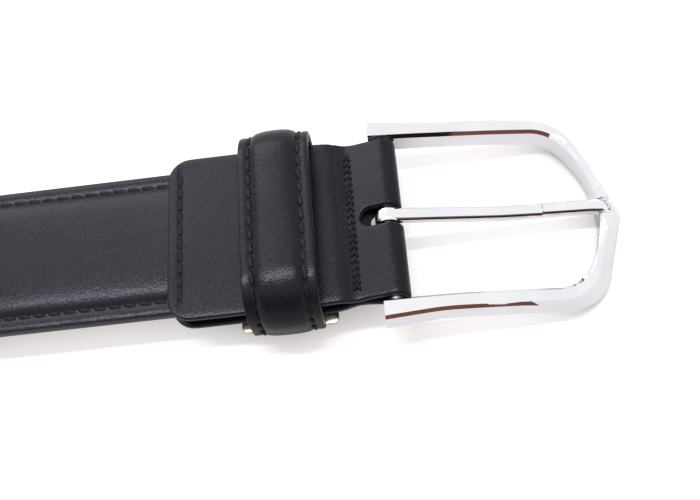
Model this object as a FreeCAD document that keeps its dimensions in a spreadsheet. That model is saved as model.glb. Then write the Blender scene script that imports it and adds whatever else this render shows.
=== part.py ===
"""A gentleman's leather belt: padded strap, chape, loop keeper and horseshoe buckle.

X runs along the belt towards the tip of the buckle, Y across it and Z up, with the face
of the leather upwards.  The free length is rolled up behind, face inwards.  Each piece is
built about the centre of the buckle bar and then moved as one, so that the origin is under
the middle of the whole belt.  Millimetres throughout.
"""
import FreeCAD, Part
import Sketcher
import math
import os

V = FreeCAD.Vector
doc = FreeCAD.newDocument("belt")
sheet = doc.addObject("Spreadsheet::Sheet", "dims")

# name of each driving dimension and its value
DIMENSIONS = dict(
    # leather and thread
    strap_width=31.6, strap_lap=0.2, cover_lap=0.6, lining_thick=1.0, interlining_thick=0.4,
    face_thick=1.2, padding_rise=1.0, padding_width=24.4, padding_shoulder=4.2,
    thread_width=0.7, thread_height=0.3, thread_sunk=0.15, stitch_inset=2.7,
    # chape, the separate piece that holds the buckle
    chape_width=36.2, chape_fold_width=34.8, chape_thick=1.4, chape_end=44.3,
    chape_corner=4.6, chape_neck=14.0, chape_shoulder=5.0, strap_start=12.0,
    dip_at=7.2, dip_gap=0.15, dip_radius=5.0, loop_radius=1.6,
    slot_reach=5.2, slot_width=4.2,
    end_stitch_at=41.8, end_stitch_half=14.3, fold_thread_width=1.8, fold_stitch_half=15.6,
    # course of the strap behind the chape
    level_run=35.5, ramp_run=55.0, rest_run=35.0,
    roll_radius=46.0, turn_pitch=5.6, half_turns=7, tip_run=30.0, tip_shoulder=5.0,
    # holes for the prong
    hole_size=4.0, hole_pitch=25.0, hole_count=5, waist_size=900.0,
    # buckle
    bar_size=3.0, bar_height=10.5, bar_length=40.6,
    frame_end=2.4, frame_half=20.9, frame_flare_half=21.7, frame_flare_run=9.0,
    frame_corner_at=40.7, frame_corner=10.6, frame_point=48.3, frame_nose=3.0,
    frame_flare_bend=60.0, frame_bevel=3.0, frame_thick=5.0,
    opening_half=17.7, opening_flare_half=18.0, opening_flare_run=12.0,
    opening_corner_at=35.1, opening_corner=7.9, opening_point=48.4, opening_front=23.0,
    arch_end=3.4, arch_mid=24.0, arch_front=48.5, arch_foot=43.5,
    frame_end_top=13.1, frame_mid_top=9.9, frame_front_top=4.7,
    frame_end_base=7.9, frame_mid_base=4.9, notch_half=1.9, notch_run=10.0, notch_gap=0.1,
    # prong
    prong_width=3.0, prong_eye=2.6, prong_bore=3.12, prong_tip=45.0, prong_thick=2.2,
    prong_mid=22.0, prong_mid_top=8.7, prong_pad_start=31.0, prong_pad_rise=0.3,
    prong_neck_top=7.6, prong_bend=41.0, prong_front_top=6.9, prong_front_base=4.7,
    prong_tip_top=5.9, prong_nose=0.7,
    # keeper, the loop that holds the free end
    keeper_centre=21.35, keeper_run=14.2, keeper_floor=7.0, keeper_inner_top=17.8,
    keeper_inner_half=18.8, keeper_corner=1.4, keeper_lining_thick=0.9,
    keeper_face_thick=1.1, keeper_crown=1.0, keeper_crown_run=8.8, keeper_row=5.8,
    keeper_base=5.0, keeper_row_corner=1.6, clip_run=19.4, clip_thick=0.5,
    clip_near=19.3, clip_width=8.0,
)
# reach of a tool that cuts right through, and how far a trimming tool starts outside
THROUGH = 30.0
OUTSIDE = 1.0
# where the middle of a round shoulder lies, as shares of its run and its rise
SHOULDER_ALONG = 0.62
SHOULDER_UP = 0.66

for row, (name, value) in enumerate(DIMENSIONS.items(), start=1):
    sheet.set("A%d" % row, name)
    sheet.set("B%d" % row, str(value))
    sheet.setAlias("B%d" % row, name)
PLACE_ROW = len(DIMENSIONS) + 1
sheet.set("A%d" % PLACE_ROW, "bar_station")
sheet.set("B%d" % PLACE_ROW, "0")
sheet.setAlias("B%d" % PLACE_ROW, "bar_station")
doc.recompute()


def dim(name):
    """Value of one driving dimension."""
    return float(sheet.get(name))


class Course:
    """Straight runs and tangent bends in the XZ plane, with parallel lines beside it."""

    def __init__(self, x, z, heading):
        self.x, self.z, self.heading = x, z, heading
        self.legs = []

    @staticmethod
    def right(heading):
        return V(math.sin(heading), 0, -math.cos(heading))

    def straight(self, length):
        start = V(self.x, 0, self.z)
        end = start + V(math.cos(self.heading), 0, math.sin(self.heading)) * length
        self.legs.append((length, start, self.heading, 0.0, 0.0))
        self.x, self.z = end.x, end.z

    def bend(self, radius, angle):
        """Turn by angle, to the right where it is positive."""
        start = V(self.x, 0, self.z)
        self.legs.append((radius * abs(angle), start, self.heading, radius, angle))
        end = self.spot(len(self.legs) - 1, 1.0, 0.0)
        self.heading -= angle
        self.x, self.z = end.x, end.z

    def spot(self, leg, share, aside):
        """Point on a leg at a share of its length, moved aside to the right."""
        length, start, heading, radius, angle = self.legs[leg]
        if not radius:
            along = V(math.cos(heading), 0, math.sin(heading)) * (length * share)
            return start + along + self.right(heading) * aside
        side = math.copysign(1.0, angle)
        centre = start + self.right(heading) * (radius * side)
        now = heading - angle * share
        return centre - self.right(now) * (side * (radius - side * aside))

    def at(self, distance, aside):
        """Point and heading at a distance along the course."""
        for leg, (length, _start, heading, _radius, angle) in enumerate(self.legs):
            if distance <= length:
                share = distance / length
                return self.spot(leg, share, aside), heading - angle * share
            distance -= length
        raise ValueError("beyond the end of the course")

    def edges(self, aside):
        made = []
        for leg, (_length, _start, _heading, radius, _angle) in enumerate(self.legs):
            first = self.spot(leg, 0.0, aside)
            last = self.spot(leg, 1.0, aside)
            if radius:
                made.append(Part.Arc(first, self.spot(leg, 0.5, aside), last).toShape())
            else:
                made.append(Part.makeLine(first, last))
        return made

    def band(self, low, high):
        """Face between two parallel lines of the course."""
        lower = self.edges(low)
        upper = self.edges(high)
        final = len(self.legs) - 1
        end_cap = Part.makeLine(self.spot(final, 1.0, low), self.spot(final, 1.0, high))
        start_cap = Part.makeLine(self.spot(0, 0.0, high), self.spot(0, 0.0, low))
        return Part.Face(Part.Wire(lower + [end_cap] + upper[::-1] + [start_cap]))


def feature(name, shape):
    made = doc.addObject("Part::Feature", name)
    made.Shape = shape
    return made


def extrusion(name, base, direction, forward, back):
    """Extrude a profile; forward and back are expressions on the sheet."""
    made = doc.addObject("Part::Extrusion", name)
    made.Base = base
    made.DirMode = "Custom"
    made.Dir = direction
    made.Solid = True
    made.setExpression("LengthFwd", forward)
    made.setExpression("LengthRev", back)
    return made


def across(name, face, half):
    """Extrude a side profile equally to both sides of the belt."""
    return extrusion(name, feature(name + "_profile", face), V(0, 1, 0), half, half)


def boolean(kind, name, base, tool):
    made = doc.addObject("Part::" + kind, name)
    made.Base = base
    made.Tool = tool
    return made


def fused(name, pieces):
    made = doc.addObject("Part::MultiFuse", name)
    made.Shapes = pieces
    made.Refine = True
    return made


def outline(points, z=0.0):
    """Closed face in plan; a point given as a pair of points is an arc through the first."""
    edges = []
    here = V(points[0][0], points[0][1], z)
    first = here
    for point in points[1:]:
        if isinstance(point[0], tuple):
            middle = V(point[0][0], point[0][1], z)
            end = V(point[1][0], point[1][1], z)
            edges.append(Part.Arc(here, middle, end).toShape())
        else:
            end = V(point[0], point[1], z)
            edges.append(Part.makeLine(here, end))
        here = end
    if here.distanceToPoint(first) > 1e-6:
        edges.append(Part.makeLine(here, first))
    return Part.Face(Part.Wire(edges))


def block(name, run, half, base, top, corner, centre="-dims.keeper_centre"):
    """Rounded block lying across the belt; every size is an expression on the sheet."""
    box = doc.addObject("Part::Box", name + "_block")
    box.setExpression("Length", run)
    box.setExpression("Width", "2 * (%s)" % half)
    box.setExpression("Height", "%s - (%s)" % (top, base))
    box.setExpression("Placement.Base.x", "%s - (%s) / 2" % (centre, run))
    box.setExpression("Placement.Base.y", "-(%s)" % half)
    box.setExpression("Placement.Base.z", base)
    doc.recompute()
    made = doc.addObject("Part::Fillet", name)
    made.Base = box
    lengthwise = [number for number, edge in enumerate(box.Shape.Edges, start=1)
                  if abs(edge.tangentAt(edge.FirstParameter).x) > 0.9]
    made.Edges = [(number, corner, corner) for number in lengthwise]
    return made


# ---------------------------------------------------------------- the course of the strap
half_strap = dim("strap_width") / 2
lining_top = dim("lining_thick")
interlining_top = lining_top + dim("interlining_thick")
face_top = interlining_top + dim("face_thick")
strap_base = dim("bar_height") - face_top / 2

insert = Course(-dim("strap_start"), strap_base, math.pi)
insert.straight(dim("chape_end") + dim("strap_lap") - dim("strap_start"))

run = Course(insert.x, insert.z, math.pi)
run.straight(dim("level_run"))
ramp_radius = (dim("ramp_run") ** 2 + strap_base ** 2) / (4 * strap_base)
ramp_angle = math.asin(dim("ramp_run") / 2 / ramp_radius)
run.bend(ramp_radius, -ramp_angle)
run.bend(ramp_radius, ramp_angle)
run.straight(dim("rest_run"))
for turn in range(int(dim("half_turns"))):
    run.bend(dim("roll_radius") - turn * dim("turn_pitch") / 2, math.pi)

tip_radius = dim("roll_radius") - dim("half_turns") * dim("turn_pitch") / 2
tip_angle = dim("tip_run") / tip_radius
tip = Course(run.x, run.z, run.heading)
tip.bend(tip_radius, tip_angle)
tip_chord = 2 * tip_radius * math.sin(tip_angle / 2)


def tip_prism(name, inset):
    """Block that trims the end of the strap to its pointed shape."""
    wide = half_strap - inset
    far = tip_chord - inset
    shoulder = dim("tip_shoulder")
    start = -inset - OUTSIDE
    halfway = (shoulder + SHOULDER_ALONG * (far - shoulder), SHOULDER_UP * wide)
    face = outline([(start, -wide), (start, wide), (shoulder, wide),
                    (halfway, (far, 0)), ((halfway[0], -halfway[1]), (shoulder, -wide))])
    base = feature(name + "_profile", face)
    turned = run.heading - tip_angle / 2
    chord = V(math.cos(turned), 0, math.sin(turned))
    upright = FreeCAD.Rotation(chord, V(0, 1, 0), chord.cross(V(0, 1, 0)), "XYZ")
    base.Placement = FreeCAD.Placement(V(run.x, 0, run.z), upright)
    return extrusion(name, base, chord.cross(V(0, 1, 0)), str(THROUGH), str(THROUGH))


tip_shape = tip_prism("tip_shape", 0.0)

holes = []
fold_reach = dim("loop_radius") + dim("chape_thick")
middle_hole = dim("waist_size") - fold_reach - dim("chape_end") - dim("strap_lap")
for place in range(int(dim("hole_count"))):
    distance = middle_hole + (place - (dim("hole_count") - 1) / 2) * dim("hole_pitch")
    low, heading = run.at(distance, -OUTSIDE)
    punch = doc.addObject("Part::Cylinder", "punch_%d" % (place + 1))
    punch.setExpression("Radius", "dims.hole_size / 2")
    punch.Height = face_top + dim("padding_rise") + 2 * OUTSIDE
    punch.Placement = FreeCAD.Placement(low, FreeCAD.Rotation(V(0, 0, 1), Course.right(heading)))
    holes.append(punch)
punches = doc.addObject("Part::Compound", "punches")
punches.Links = holes


def layer(name, low, high):
    """Flat layer of the strap over its whole length, trimmed at the tip."""
    half = "dims.strap_width / 2"
    pieces = [across(name + "_run", run.band(low, high), half),
              across(name + "_insert", insert.band(low, high), half)]
    end = across(name + "_end", tip.band(low, high), half)
    pieces.append(boolean("Common", name + "_tip", end, tip_shape))
    return fused(name + "_whole", pieces)


# ---------------------------------------------------------------- edge stitching
def edge_thread(name, low, high):
    """Line of stitches inside both edges and round the tip."""
    sides = []
    for side in (1, -1):
        rib = feature(name + "_rib_%d" % (side + 2), run.band(low, high))
        near = "dims.strap_width / 2 - dims.stitch_inset - dims.thread_width / 2"
        far = "dims.strap_width / 2 - dims.stitch_inset + dims.thread_width / 2"
        sides.append(extrusion(name + "_side_%d" % (side + 2), rib, V(0, side, 0),
                               far, "-(%s)" % near))
    outer = tip_prism(name + "_outer", dim("stitch_inset") - dim("thread_width") / 2)
    inner = tip_prism(name + "_inner", dim("stitch_inset") + dim("thread_width") / 2)
    ring = boolean("Cut", name + "_ring", outer, inner)
    end = across(name + "_end", tip.band(low, high), "dims.strap_width / 2")
    return fused(name, sides + [boolean("Common", name + "_tip", end, ring)])


thread_low = face_top - dim("thread_sunk")
strap_needle = edge_thread("strap_needle_thread", thread_low, thread_low + dim("thread_height"))
strap_bobbin = edge_thread("strap_bobbin_thread", 0.0, dim("thread_height"))

# ---------------------------------------------------------------- strap
lining = boolean("Cut", "strap_lining_drilled", layer("lining", 0.0, lining_top), punches)
strap_lining = boolean("Cut", "strap_lining", lining, strap_bobbin)
strap_interlining = boolean(
    "Cut", "strap_interlining", layer("interlining", lining_top, interlining_top), punches)


def crowned(name, half, flank, low, rise):
    """Padded middle of the strap: flat on top, with a round shoulder each side."""
    top = low + rise
    bulge = (half - (1 - SHOULDER_ALONG) * flank, low + SHOULDER_UP * rise)
    section = outline([(-half, low), ((-bulge[0], bulge[1]), (-half + flank, top)),
                       (half - flank, top), ((bulge[0], bulge[1]), (half, low))]).OuterWire
    upright = FreeCAD.Rotation(V(0, 1, 0), V(0, 0, 1), V(1, 0, 0), "XYZ")
    section.Placement = FreeCAD.Placement(run.spot(0, 0.0, 0.0), upright)
    pipe = Part.BRepOffsetAPI.MakePipeShell(Part.Wire(run.edges(0.0)))
    pipe.setBiNormalMode(V(0, 1, 0))
    pipe.add(section)
    pipe.build()
    pipe.makeSolid()
    return feature(name, pipe.shape())


padding_half = dim("padding_width") / 2
padding = crowned("padding_crown", padding_half, dim("padding_shoulder"),
                  interlining_top, dim("padding_rise"))
strap_padding = boolean("Cut", "strap_padding", padding, punches)
cover_half = padding_half + dim("cover_lap")
cover = crowned("cover_crown", cover_half, dim("padding_shoulder"),
                face_top, dim("padding_rise"))
face_flat = layer("face", interlining_top, face_top)
face_full = fused("face_full", [face_flat, cover])
face_hollow = boolean("Cut", "face_hollow", face_full, padding)
face_drilled = boolean("Cut", "face_drilled", face_hollow, punches)
strap_face = boolean("Cut", "strap_face", face_drilled, strap_needle)

# ---------------------------------------------------------------- chape
mid = dim("bar_height")
gap = face_top / 2
lead = dim("strap_start") - dim("dip_at")
drop = gap - dim("dip_gap")
ease_radius = (lead ** 2 + drop ** 2) / (4 * drop)
ease_angle = math.asin(lead / 2 / ease_radius)
rise_arm = dim("dip_radius")
reach_up = dim("dip_gap") + rise_arm
climb = (math.asin((dim("loop_radius") + rise_arm) / math.hypot(dim("dip_at"), reach_up))
         - math.atan2(reach_up, dim("dip_at")))
leave = V(-dim("dip_at") + rise_arm * math.sin(climb), 0,
          dim("dip_gap") + rise_arm * (1 - math.cos(climb)))
touch = V(-dim("loop_radius") * math.sin(climb), 0, dim("loop_radius") * math.cos(climb))
wrap = Course(-dim("chape_end"), mid + gap, 0.0)
wrap.straight(dim("chape_end") - dim("strap_start"))
wrap.bend(ease_radius, ease_angle)
wrap.bend(ease_radius, -ease_angle)
wrap.bend(rise_arm, -climb)
wrap.straight((touch - leave).Length)
wrap.bend(dim("loop_radius"), math.pi + 2 * climb)
wrap.straight((touch - leave).Length)
wrap.bend(rise_arm, -climb)
wrap.bend(ease_radius, -ease_angle)
wrap.bend(ease_radius, ease_angle)
wrap.straight(dim("chape_end") - dim("strap_start"))
chape_band = across("chape_band", wrap.band(-dim("chape_thick"), 0.0), "dims.chape_width / 2")

wide = dim("chape_width") / 2
slim = dim("chape_fold_width") / 2
corner = dim("chape_corner")
nip = corner * (1 - math.sqrt(0.5))
back = -dim("chape_end")
chape_plan = feature("chape_plan", outline([
    (back, -wide + corner), (back, wide - corner),
    ((back + nip, wide - nip), (back + corner, wide)), (-dim("chape_neck"), wide),
    (-dim("chape_shoulder"), slim), (THROUGH, slim), (THROUGH, -slim),
    (-dim("chape_shoulder"), -slim),
    (-dim("chape_neck"), -wide), (back + corner, -wide),
    ((back + nip, -wide + nip), (back, -wide + corner))]))
chape_shape = extrusion("chape_shape", chape_plan, V(0, 0, 1), str(THROUGH), "0")
half_slot = dim("slot_width") / 2
slot_centre = -dim("slot_reach") + half_slot
slot_plan = feature("slot_plan", outline([
    (THROUGH, half_slot), (slot_centre, half_slot),
    ((-dim("slot_reach"), 0), (slot_centre, -half_slot)), (THROUGH, -half_slot)]))
slot = extrusion("slot", slot_plan, V(0, 0, 1), str(THROUGH), "0")
chape_trimmed = boolean("Common", "chape_trimmed", chape_band, chape_shape)
chape_cut = boolean("Cut", "chape_cut", chape_trimmed, slot)


def cross_thread(name, at, width, half, base, height):
    """Row of stitches straight across the belt, as one low rib."""
    rib = doc.addObject("Part::Box", name)
    rib.setExpression("Length", width)
    rib.setExpression("Width", "2 * %s" % half)
    rib.Height = height
    rib.setExpression("Placement.Base.x", "-%s - %s / 2" % (at, width))
    rib.setExpression("Placement.Base.y", "-%s" % half)
    rib.Placement.Base.z = base
    return rib


thread_height = dim("thread_height")
chape_top = mid + gap + dim("chape_thick")
chape_base = mid - gap - dim("chape_thick")
end_row = ("dims.end_stitch_at", "dims.thread_width", "dims.end_stitch_half")
chape_needle = cross_thread("chape_needle_thread", *end_row,
                            chape_top - dim("thread_sunk"), thread_height)
chape_bobbin = cross_thread("chape_bobbin_thread", *end_row, chape_base, thread_height)
fold_row = ("dims.dip_at", "dims.fold_thread_width", "dims.fold_stitch_half")
fold_outer = dim("dip_gap") + dim("chape_thick")
fold_height = 2 * thread_height
fold_needle = cross_thread("fold_needle_thread", *fold_row,
                           mid + fold_outer - thread_height / 2, fold_height)
fold_bobbin = cross_thread("fold_bobbin_thread", *fold_row,
                           mid - fold_outer + thread_height / 2 - fold_height, fold_height)
chape_threads = doc.addObject("Part::Compound", "chape_threads")
chape_threads.Links = [chape_needle, chape_bobbin, fold_needle, fold_bobbin]
chape_wrap = boolean("Cut", "chape_wrap", chape_cut, chape_threads)

# ---------------------------------------------------------------- buckle
frame_end = -dim("frame_end")


def rounded(half):
    """Closed outline in plan, from the corners of one half of it and the radius of each."""
    corners = half + [(x, -y, radius) for x, y, radius in reversed(half) if y]
    joints = []
    for number, (x, y, radius) in enumerate(corners):
        point = V(x, y, 0)
        before = corners[number - 1]
        after = corners[(number + 1) % len(corners)]
        back = (V(before[0], before[1], 0) - point).normalize()
        ahead = (V(after[0], after[1], 0) - point).normalize()
        half_angle = back.getAngle(ahead) / 2
        reach = radius / math.tan(half_angle)
        crown = point + (back + ahead).normalize() * (radius / math.sin(half_angle) - radius)
        joints.append((point + back * reach, crown, point + ahead * reach))
    edges = []
    for number, (start, crown, end) in enumerate(joints):
        if start.distanceToPoint(end) > 1e-6:
            edges.append(Part.Arc(start, crown, end).toShape())
        edges.append(Part.makeLine(end, joints[(number + 1) % len(joints)][0]))
    return Part.Wire(edges)


def frame_outline(name, lift):
    """Outer outline of the frame at a lift above its sloping base, drawn in as it rises."""
    drawn_in = dim("frame_bevel") * lift / dim("frame_thick")
    wire = rounded([
        (frame_end, dim("frame_flare_half"), 0),
        (dim("frame_flare_run"), dim("frame_half"), dim("frame_flare_bend")),
        (dim("frame_corner_at") - drawn_in, dim("frame_half"), dim("frame_corner")),
        (dim("frame_point") - drawn_in, 0, dim("frame_nose"))])
    slope = -dim("frame_mid_base") / (dim("arch_foot") - dim("arch_mid"))
    level = dim("frame_mid_base") - slope * dim("arch_mid") + lift
    lean = FreeCAD.Matrix(1, 0, 0, 0, 0, 1, 0, 0, slope, 0, 1, level, 0, 0, 0, 1)
    return feature(name, wire.transformGeometry(lean))


frame_block = doc.addObject("Part::Loft", "frame_block")
frame_block.Sections = [frame_outline("frame_outline_low", -0.6 * dim("frame_thick")),
                        frame_outline("frame_outline_high", 1.8 * dim("frame_thick"))]
frame_block.Solid = True
frame_block.Ruled = True
opening_plan = feature("opening_plan", Part.Face(rounded([
    (frame_end - OUTSIDE, dim("opening_flare_half"), 0),
    (dim("opening_flare_run"), dim("opening_half"), dim("frame_flare_bend")),
    (dim("opening_corner_at"), dim("opening_half"), dim("opening_corner")),
    (dim("opening_point"), 0, dim("opening_front"))])))
opening_block = extrusion("opening_block", opening_plan, V(0, 0, 1), str(THROUGH), str(THROUGH))
frame_open = boolean("Cut", "frame_open", frame_block, opening_block)

arch_start = -dim("arch_end")
arch_front = dim("arch_front")
high_end = V(arch_start, 0, dim("frame_end_top"))
high_mid = V(dim("arch_mid"), 0, dim("frame_mid_top"))
high_front = V(arch_front, 0, dim("frame_front_top"))
low_front = V(arch_front, 0, 0)
foot = V(dim("arch_foot"), 0, 0)
low_mid = V(dim("arch_mid"), 0, dim("frame_mid_base"))
low_end = V(arch_start, 0, dim("frame_end_base"))
arch_edges = [Part.Arc(high_end, high_mid, high_front).toShape(),
              Part.makeLine(high_front, low_front), Part.makeLine(low_front, foot),
              Part.Arc(foot, low_mid, low_end).toShape(), Part.makeLine(low_end, high_end)]
arch = across("arch", Part.Face(Part.Wire(arch_edges)), str(THROUGH))
frame_arched = boolean("Common", "frame_arched", frame_open, arch)

bar_hole = doc.addObject("Part::Cylinder", "bar_hole")
bar_hole.setExpression("Radius", "dims.bar_size / 2")
bar_hole.setExpression("Height", "dims.bar_length")
bar_hole.setExpression("Placement.Base.y", "dims.bar_length / 2")
bar_hole.setExpression("Placement.Base.z", "dims.bar_height")
bar_hole.Placement.Rotation = FreeCAD.Rotation(V(1, 0, 0), 90)
prong_rest = doc.addObject("Part::Box", "prong_rest")
prong_rest.setExpression("Length", "dims.notch_run")
prong_rest.setExpression("Width", "2 * dims.notch_half")
prong_rest.setExpression("Height", "dims.frame_thick")
prong_rest.setExpression("Placement.Base.x", "dims.prong_tip + 5 * dims.notch_gap - dims.notch_run")
prong_rest.setExpression("Placement.Base.y", "-dims.notch_half")
prong_rest.setExpression("Placement.Base.z", "dims.prong_front_base - dims.notch_gap")
frame_cuts = doc.addObject("Part::Compound", "frame_cuts")
frame_cuts.Links = [bar_hole, prong_rest]
buckle_frame = boolean("Cut", "buckle_frame", frame_arched, frame_cuts)


def plane_of(body, role):
    for item in body.Origin.OriginFeatures:
        if item.Role == role:
            return item
    raise ValueError(role)


def sketch_on(body, name, role):
    made = body.newObject("Sketcher::SketchObject", name)
    made.AttachmentSupport = (plane_of(body, role), [""])
    made.MapMode = "FlatFace"
    return made


bar_body = doc.addObject("PartDesign::Body", "buckle_bar")
bar_sketch = sketch_on(bar_body, "bar_section", "XZ_Plane")
bar_sketch.addGeometry(Part.Circle(V(0, mid, 0), V(0, 0, 1), dim("bar_size") / 2), False)
bar_sketch.addConstraint(Sketcher.Constraint("Diameter", 0, dim("bar_size")))
bar_sketch.setExpression("Constraints[0]", "dims.bar_size")
bar_pad = bar_body.newObject("PartDesign::Pad", "bar_pad")
bar_pad.Profile = bar_sketch
bar_pad.setExpression("Length", "dims.bar_length")
bar_pad.Midplane = True

# ---------------------------------------------------------------- prong
eye = dim("prong_eye")
pad_at = dim("prong_pad_start")
neck_top = dim("prong_neck_top")
nose = dim("prong_nose")
tip_at = dim("prong_tip")
front_base = dim("prong_front_base")
prong_points = [
    V(0, 0, mid + eye), V(dim("prong_mid"), 0, dim("prong_mid_top")), V(pad_at, 0, neck_top),
    V(pad_at + nose, 0, neck_top + dim("prong_pad_rise")),
    V(dim("prong_bend"), 0, dim("prong_front_top")), V(tip_at - nose, 0, dim("prong_tip_top")),
    V(tip_at, 0, front_base + nose), V(tip_at - nose, 0, front_base),
    V(dim("prong_bend"), 0, front_base),
    V(dim("prong_mid"), 0, dim("prong_mid_top") - dim("prong_thick")),
    V(eye, 0, mid + eye - dim("prong_thick")), V(0, 0, mid)]
prong_face = Part.Face(Part.makePolygon(prong_points + prong_points[:1]))
prong_arm = across("prong_arm", prong_face, "dims.prong_width / 2")
prong_ring = doc.addObject("Part::Cylinder", "prong_ring")
prong_ring.setExpression("Radius", "dims.prong_eye")
prong_hole = doc.addObject("Part::Cylinder", "prong_hole")
prong_hole.setExpression("Radius", "dims.prong_bore / 2")
for barrel in (prong_ring, prong_hole):
    barrel.setExpression("Height", "dims.prong_width")
    barrel.setExpression("Placement.Base.y", "dims.prong_width / 2")
    barrel.setExpression("Placement.Base.z", "dims.bar_height")
    barrel.Placement.Rotation = FreeCAD.Rotation(V(1, 0, 0), 90)
prong_solid = fused("prong_solid", [prong_arm, prong_ring])
buckle_prong = boolean("Cut", "buckle_prong", prong_solid, prong_hole)

# ---------------------------------------------------------------- keeper
inner_half = "dims.keeper_inner_half"
inner_top = "dims.keeper_inner_top"
lining_by = "dims.keeper_lining_thick"
face_by = "(dims.keeper_lining_thick + dims.keeper_face_thick)"
crown_by = "dims.keeper_crown / 2"
corner = dim("keeper_corner")
lining_corner = corner + dim("keeper_lining_thick")
face_corner = lining_corner + dim("keeper_face_thick")
run_by = "dims.keeper_run"
passage = block("keeper_passage", "2 * " + run_by, inner_half, "dims.keeper_floor", inner_top, corner)
lining_block = block("keeper_lining_outer", run_by, inner_half + " + " + lining_by,
                     "dims.keeper_floor - " + lining_by, inner_top + " + " + lining_by,
                     lining_corner)
face_block = block("keeper_face_outer", run_by, inner_half + " + " + face_by, "dims.keeper_base",
                   inner_top + " + " + face_by, face_corner)
crown_block = block("keeper_crown_outer", "dims.keeper_crown_run",
                    inner_half + " + " + face_by + " + " + crown_by, "dims.keeper_base",
                    inner_top + " + " + face_by + " + dims.keeper_crown",
                    face_corner + dim("keeper_crown") / 2)
padding_block = block("keeper_padding_outer", "dims.keeper_crown_run - dims.keeper_crown",
                      inner_half + " + " + lining_by + " + " + crown_by,
                      "dims.keeper_floor + 3 * dims.keeper_crown",
                      inner_top + " + " + lining_by + " + dims.keeper_crown",
                      lining_corner + dim("keeper_crown") / 2)
keeper_padding = boolean("Cut", "keeper_padding", padding_block, lining_block)


def keeper_rows(name, reach_out, reach_in, base, inner_base):
    """The two rows of stitches that run round the loop."""
    rows = []
    for side in ("-", "+"):
        tag = "near" if side == "-" else "far"
        centre = "-dims.keeper_centre %s dims.keeper_row" % side
        outer = block("%s_%s_outer" % (name, tag), "dims.thread_width",
                      inner_half + " + " + reach_out, base, inner_top + " + " + reach_out,
                      dim("keeper_row_corner"), centre)
        inner = block("%s_%s_inner" % (name, tag), "2 * dims.thread_width",
                      inner_half + " + " + reach_in, inner_base, inner_top + " + " + reach_in,
                      dim("keeper_row_corner"), centre)
        rows.append(boolean("Cut", "%s_%s" % (name, tag), outer, inner))
    made = doc.addObject("Part::Compound", name)
    made.Links = rows
    return made


sunk = "dims.thread_sunk"
keeper_bobbin = keeper_rows("keeper_bobbin_thread", sunk, "0", "dims.keeper_floor - " + sunk,
                            "dims.keeper_floor")
keeper_needle = keeper_rows("keeper_needle_thread", face_by + " + " + sunk,
                            face_by + " - " + sunk, "dims.keeper_base",
                            "dims.keeper_base + dims.thread_height")

clip = doc.addObject("Part::Box", "keeper_clip")
clip.setExpression("Length", "dims.clip_run")
clip.setExpression("Width", "dims.clip_width")
clip.setExpression("Height", "dims.clip_thick")
clip.setExpression("Placement.Base.x", "-dims.keeper_centre - dims.clip_run / 2")
clip.setExpression("Placement.Base.y", "-dims.clip_near")
clip.setExpression("Placement.Base.z", "dims.keeper_floor - dims.keeper_lining_thick"
                                          " - dims.clip_thick")

lining_ring = boolean("Cut", "keeper_lining_ring", lining_block, passage)
keeper_lining = boolean("Cut", "keeper_lining", lining_ring, keeper_bobbin)
face_whole = fused("keeper_face_whole", [face_block, crown_block])
face_cuts = doc.addObject("Part::Compound", "face_cuts")
face_cuts.Links = [keeper_padding, keeper_needle, clip]
face_ring = boolean("Cut", "keeper_face_ring", face_whole, lining_block)
keeper_face = boolean("Cut", "keeper_face", face_ring, face_cuts)

# ---------------------------------------------------------------- place, check and write
doc.recompute()
NODES = {
    "strap_face": strap_face, "strap_padding": strap_padding,
    "strap_interlining": strap_interlining, "strap_lining": strap_lining,
    "strap_needle_thread": strap_needle, "strap_bobbin_thread": strap_bobbin,
    "chape_wrap": chape_wrap, "chape_needle_thread": chape_needle,
    "chape_bobbin_thread": chape_bobbin, "fold_needle_thread": fold_needle,
    "fold_bobbin_thread": fold_bobbin, "buckle_frame": buckle_frame,
    "buckle_bar": bar_body, "buckle_prong": buckle_prong,
    "keeper_face": keeper_face, "keeper_padding": keeper_padding,
    "keeper_lining": keeper_lining, "keeper_clip": clip,
    "keeper_needle_thread": keeper_needle, "keeper_bobbin_thread": keeper_bobbin,
}
whole = FreeCAD.BoundBox()
for piece in NODES.values():
    whole.add(piece.Shape.optimalBoundingBox(False))
sheet.set("B%d" % PLACE_ROW, "%.4f" % (-(whole.XMin + whole.XMax) / 2))
doc.recompute()

placed = {}
for node, piece in NODES.items():
    piece.Label = node + "_at_bar"
    made = doc.addObject("Part::Compound", "placed_" + node)
    made.Links = [piece]
    made.Label = node
    made.setExpression("Placement.Base.x", "dims.bar_station")
    placed[node] = made
doc.recompute()

for item in doc.Objects:
    if "Invalid" in item.State or "Error" in item.State:
        raise RuntimeError("%s failed" % item.Name)
os.makedirs("parts", exist_ok=True)
print("bar station %.4f" % dim("bar_station"))
for node, piece in placed.items():
    shape = piece.Shape
    if shape.isNull() or not shape.isValid():
        raise RuntimeError("%s is not a valid shape" % node)
    shape.exportStep("parts/%s.step" % node)
    box = shape.optimalBoundingBox(False)
    print("%-24s solids %d volume %8.1f  x %.2f %.2f  y %.2f %.2f  z %.2f %.2f" % (
        node, len(shape.Solids), shape.Volume, box.XMin, box.XMax, box.YMin, box.YMax,
        box.ZMin, box.ZMax))
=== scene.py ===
"""Dress belt: padded leather strap, stitched chape, loop keeper and chrome horseshoe buckle.

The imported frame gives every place.  Leather pieces are modelled flat, in millimetres, and then
laid along the course that the leather follows; metal pieces are modelled in place.  Lengths
along the belt are counted from the centre of the buckle bar.
"""
import logging
import math
from dataclasses import dataclass, field, replace
from enum import Enum

import bmesh
import bpy
from mathutils import Matrix, Vector


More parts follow.
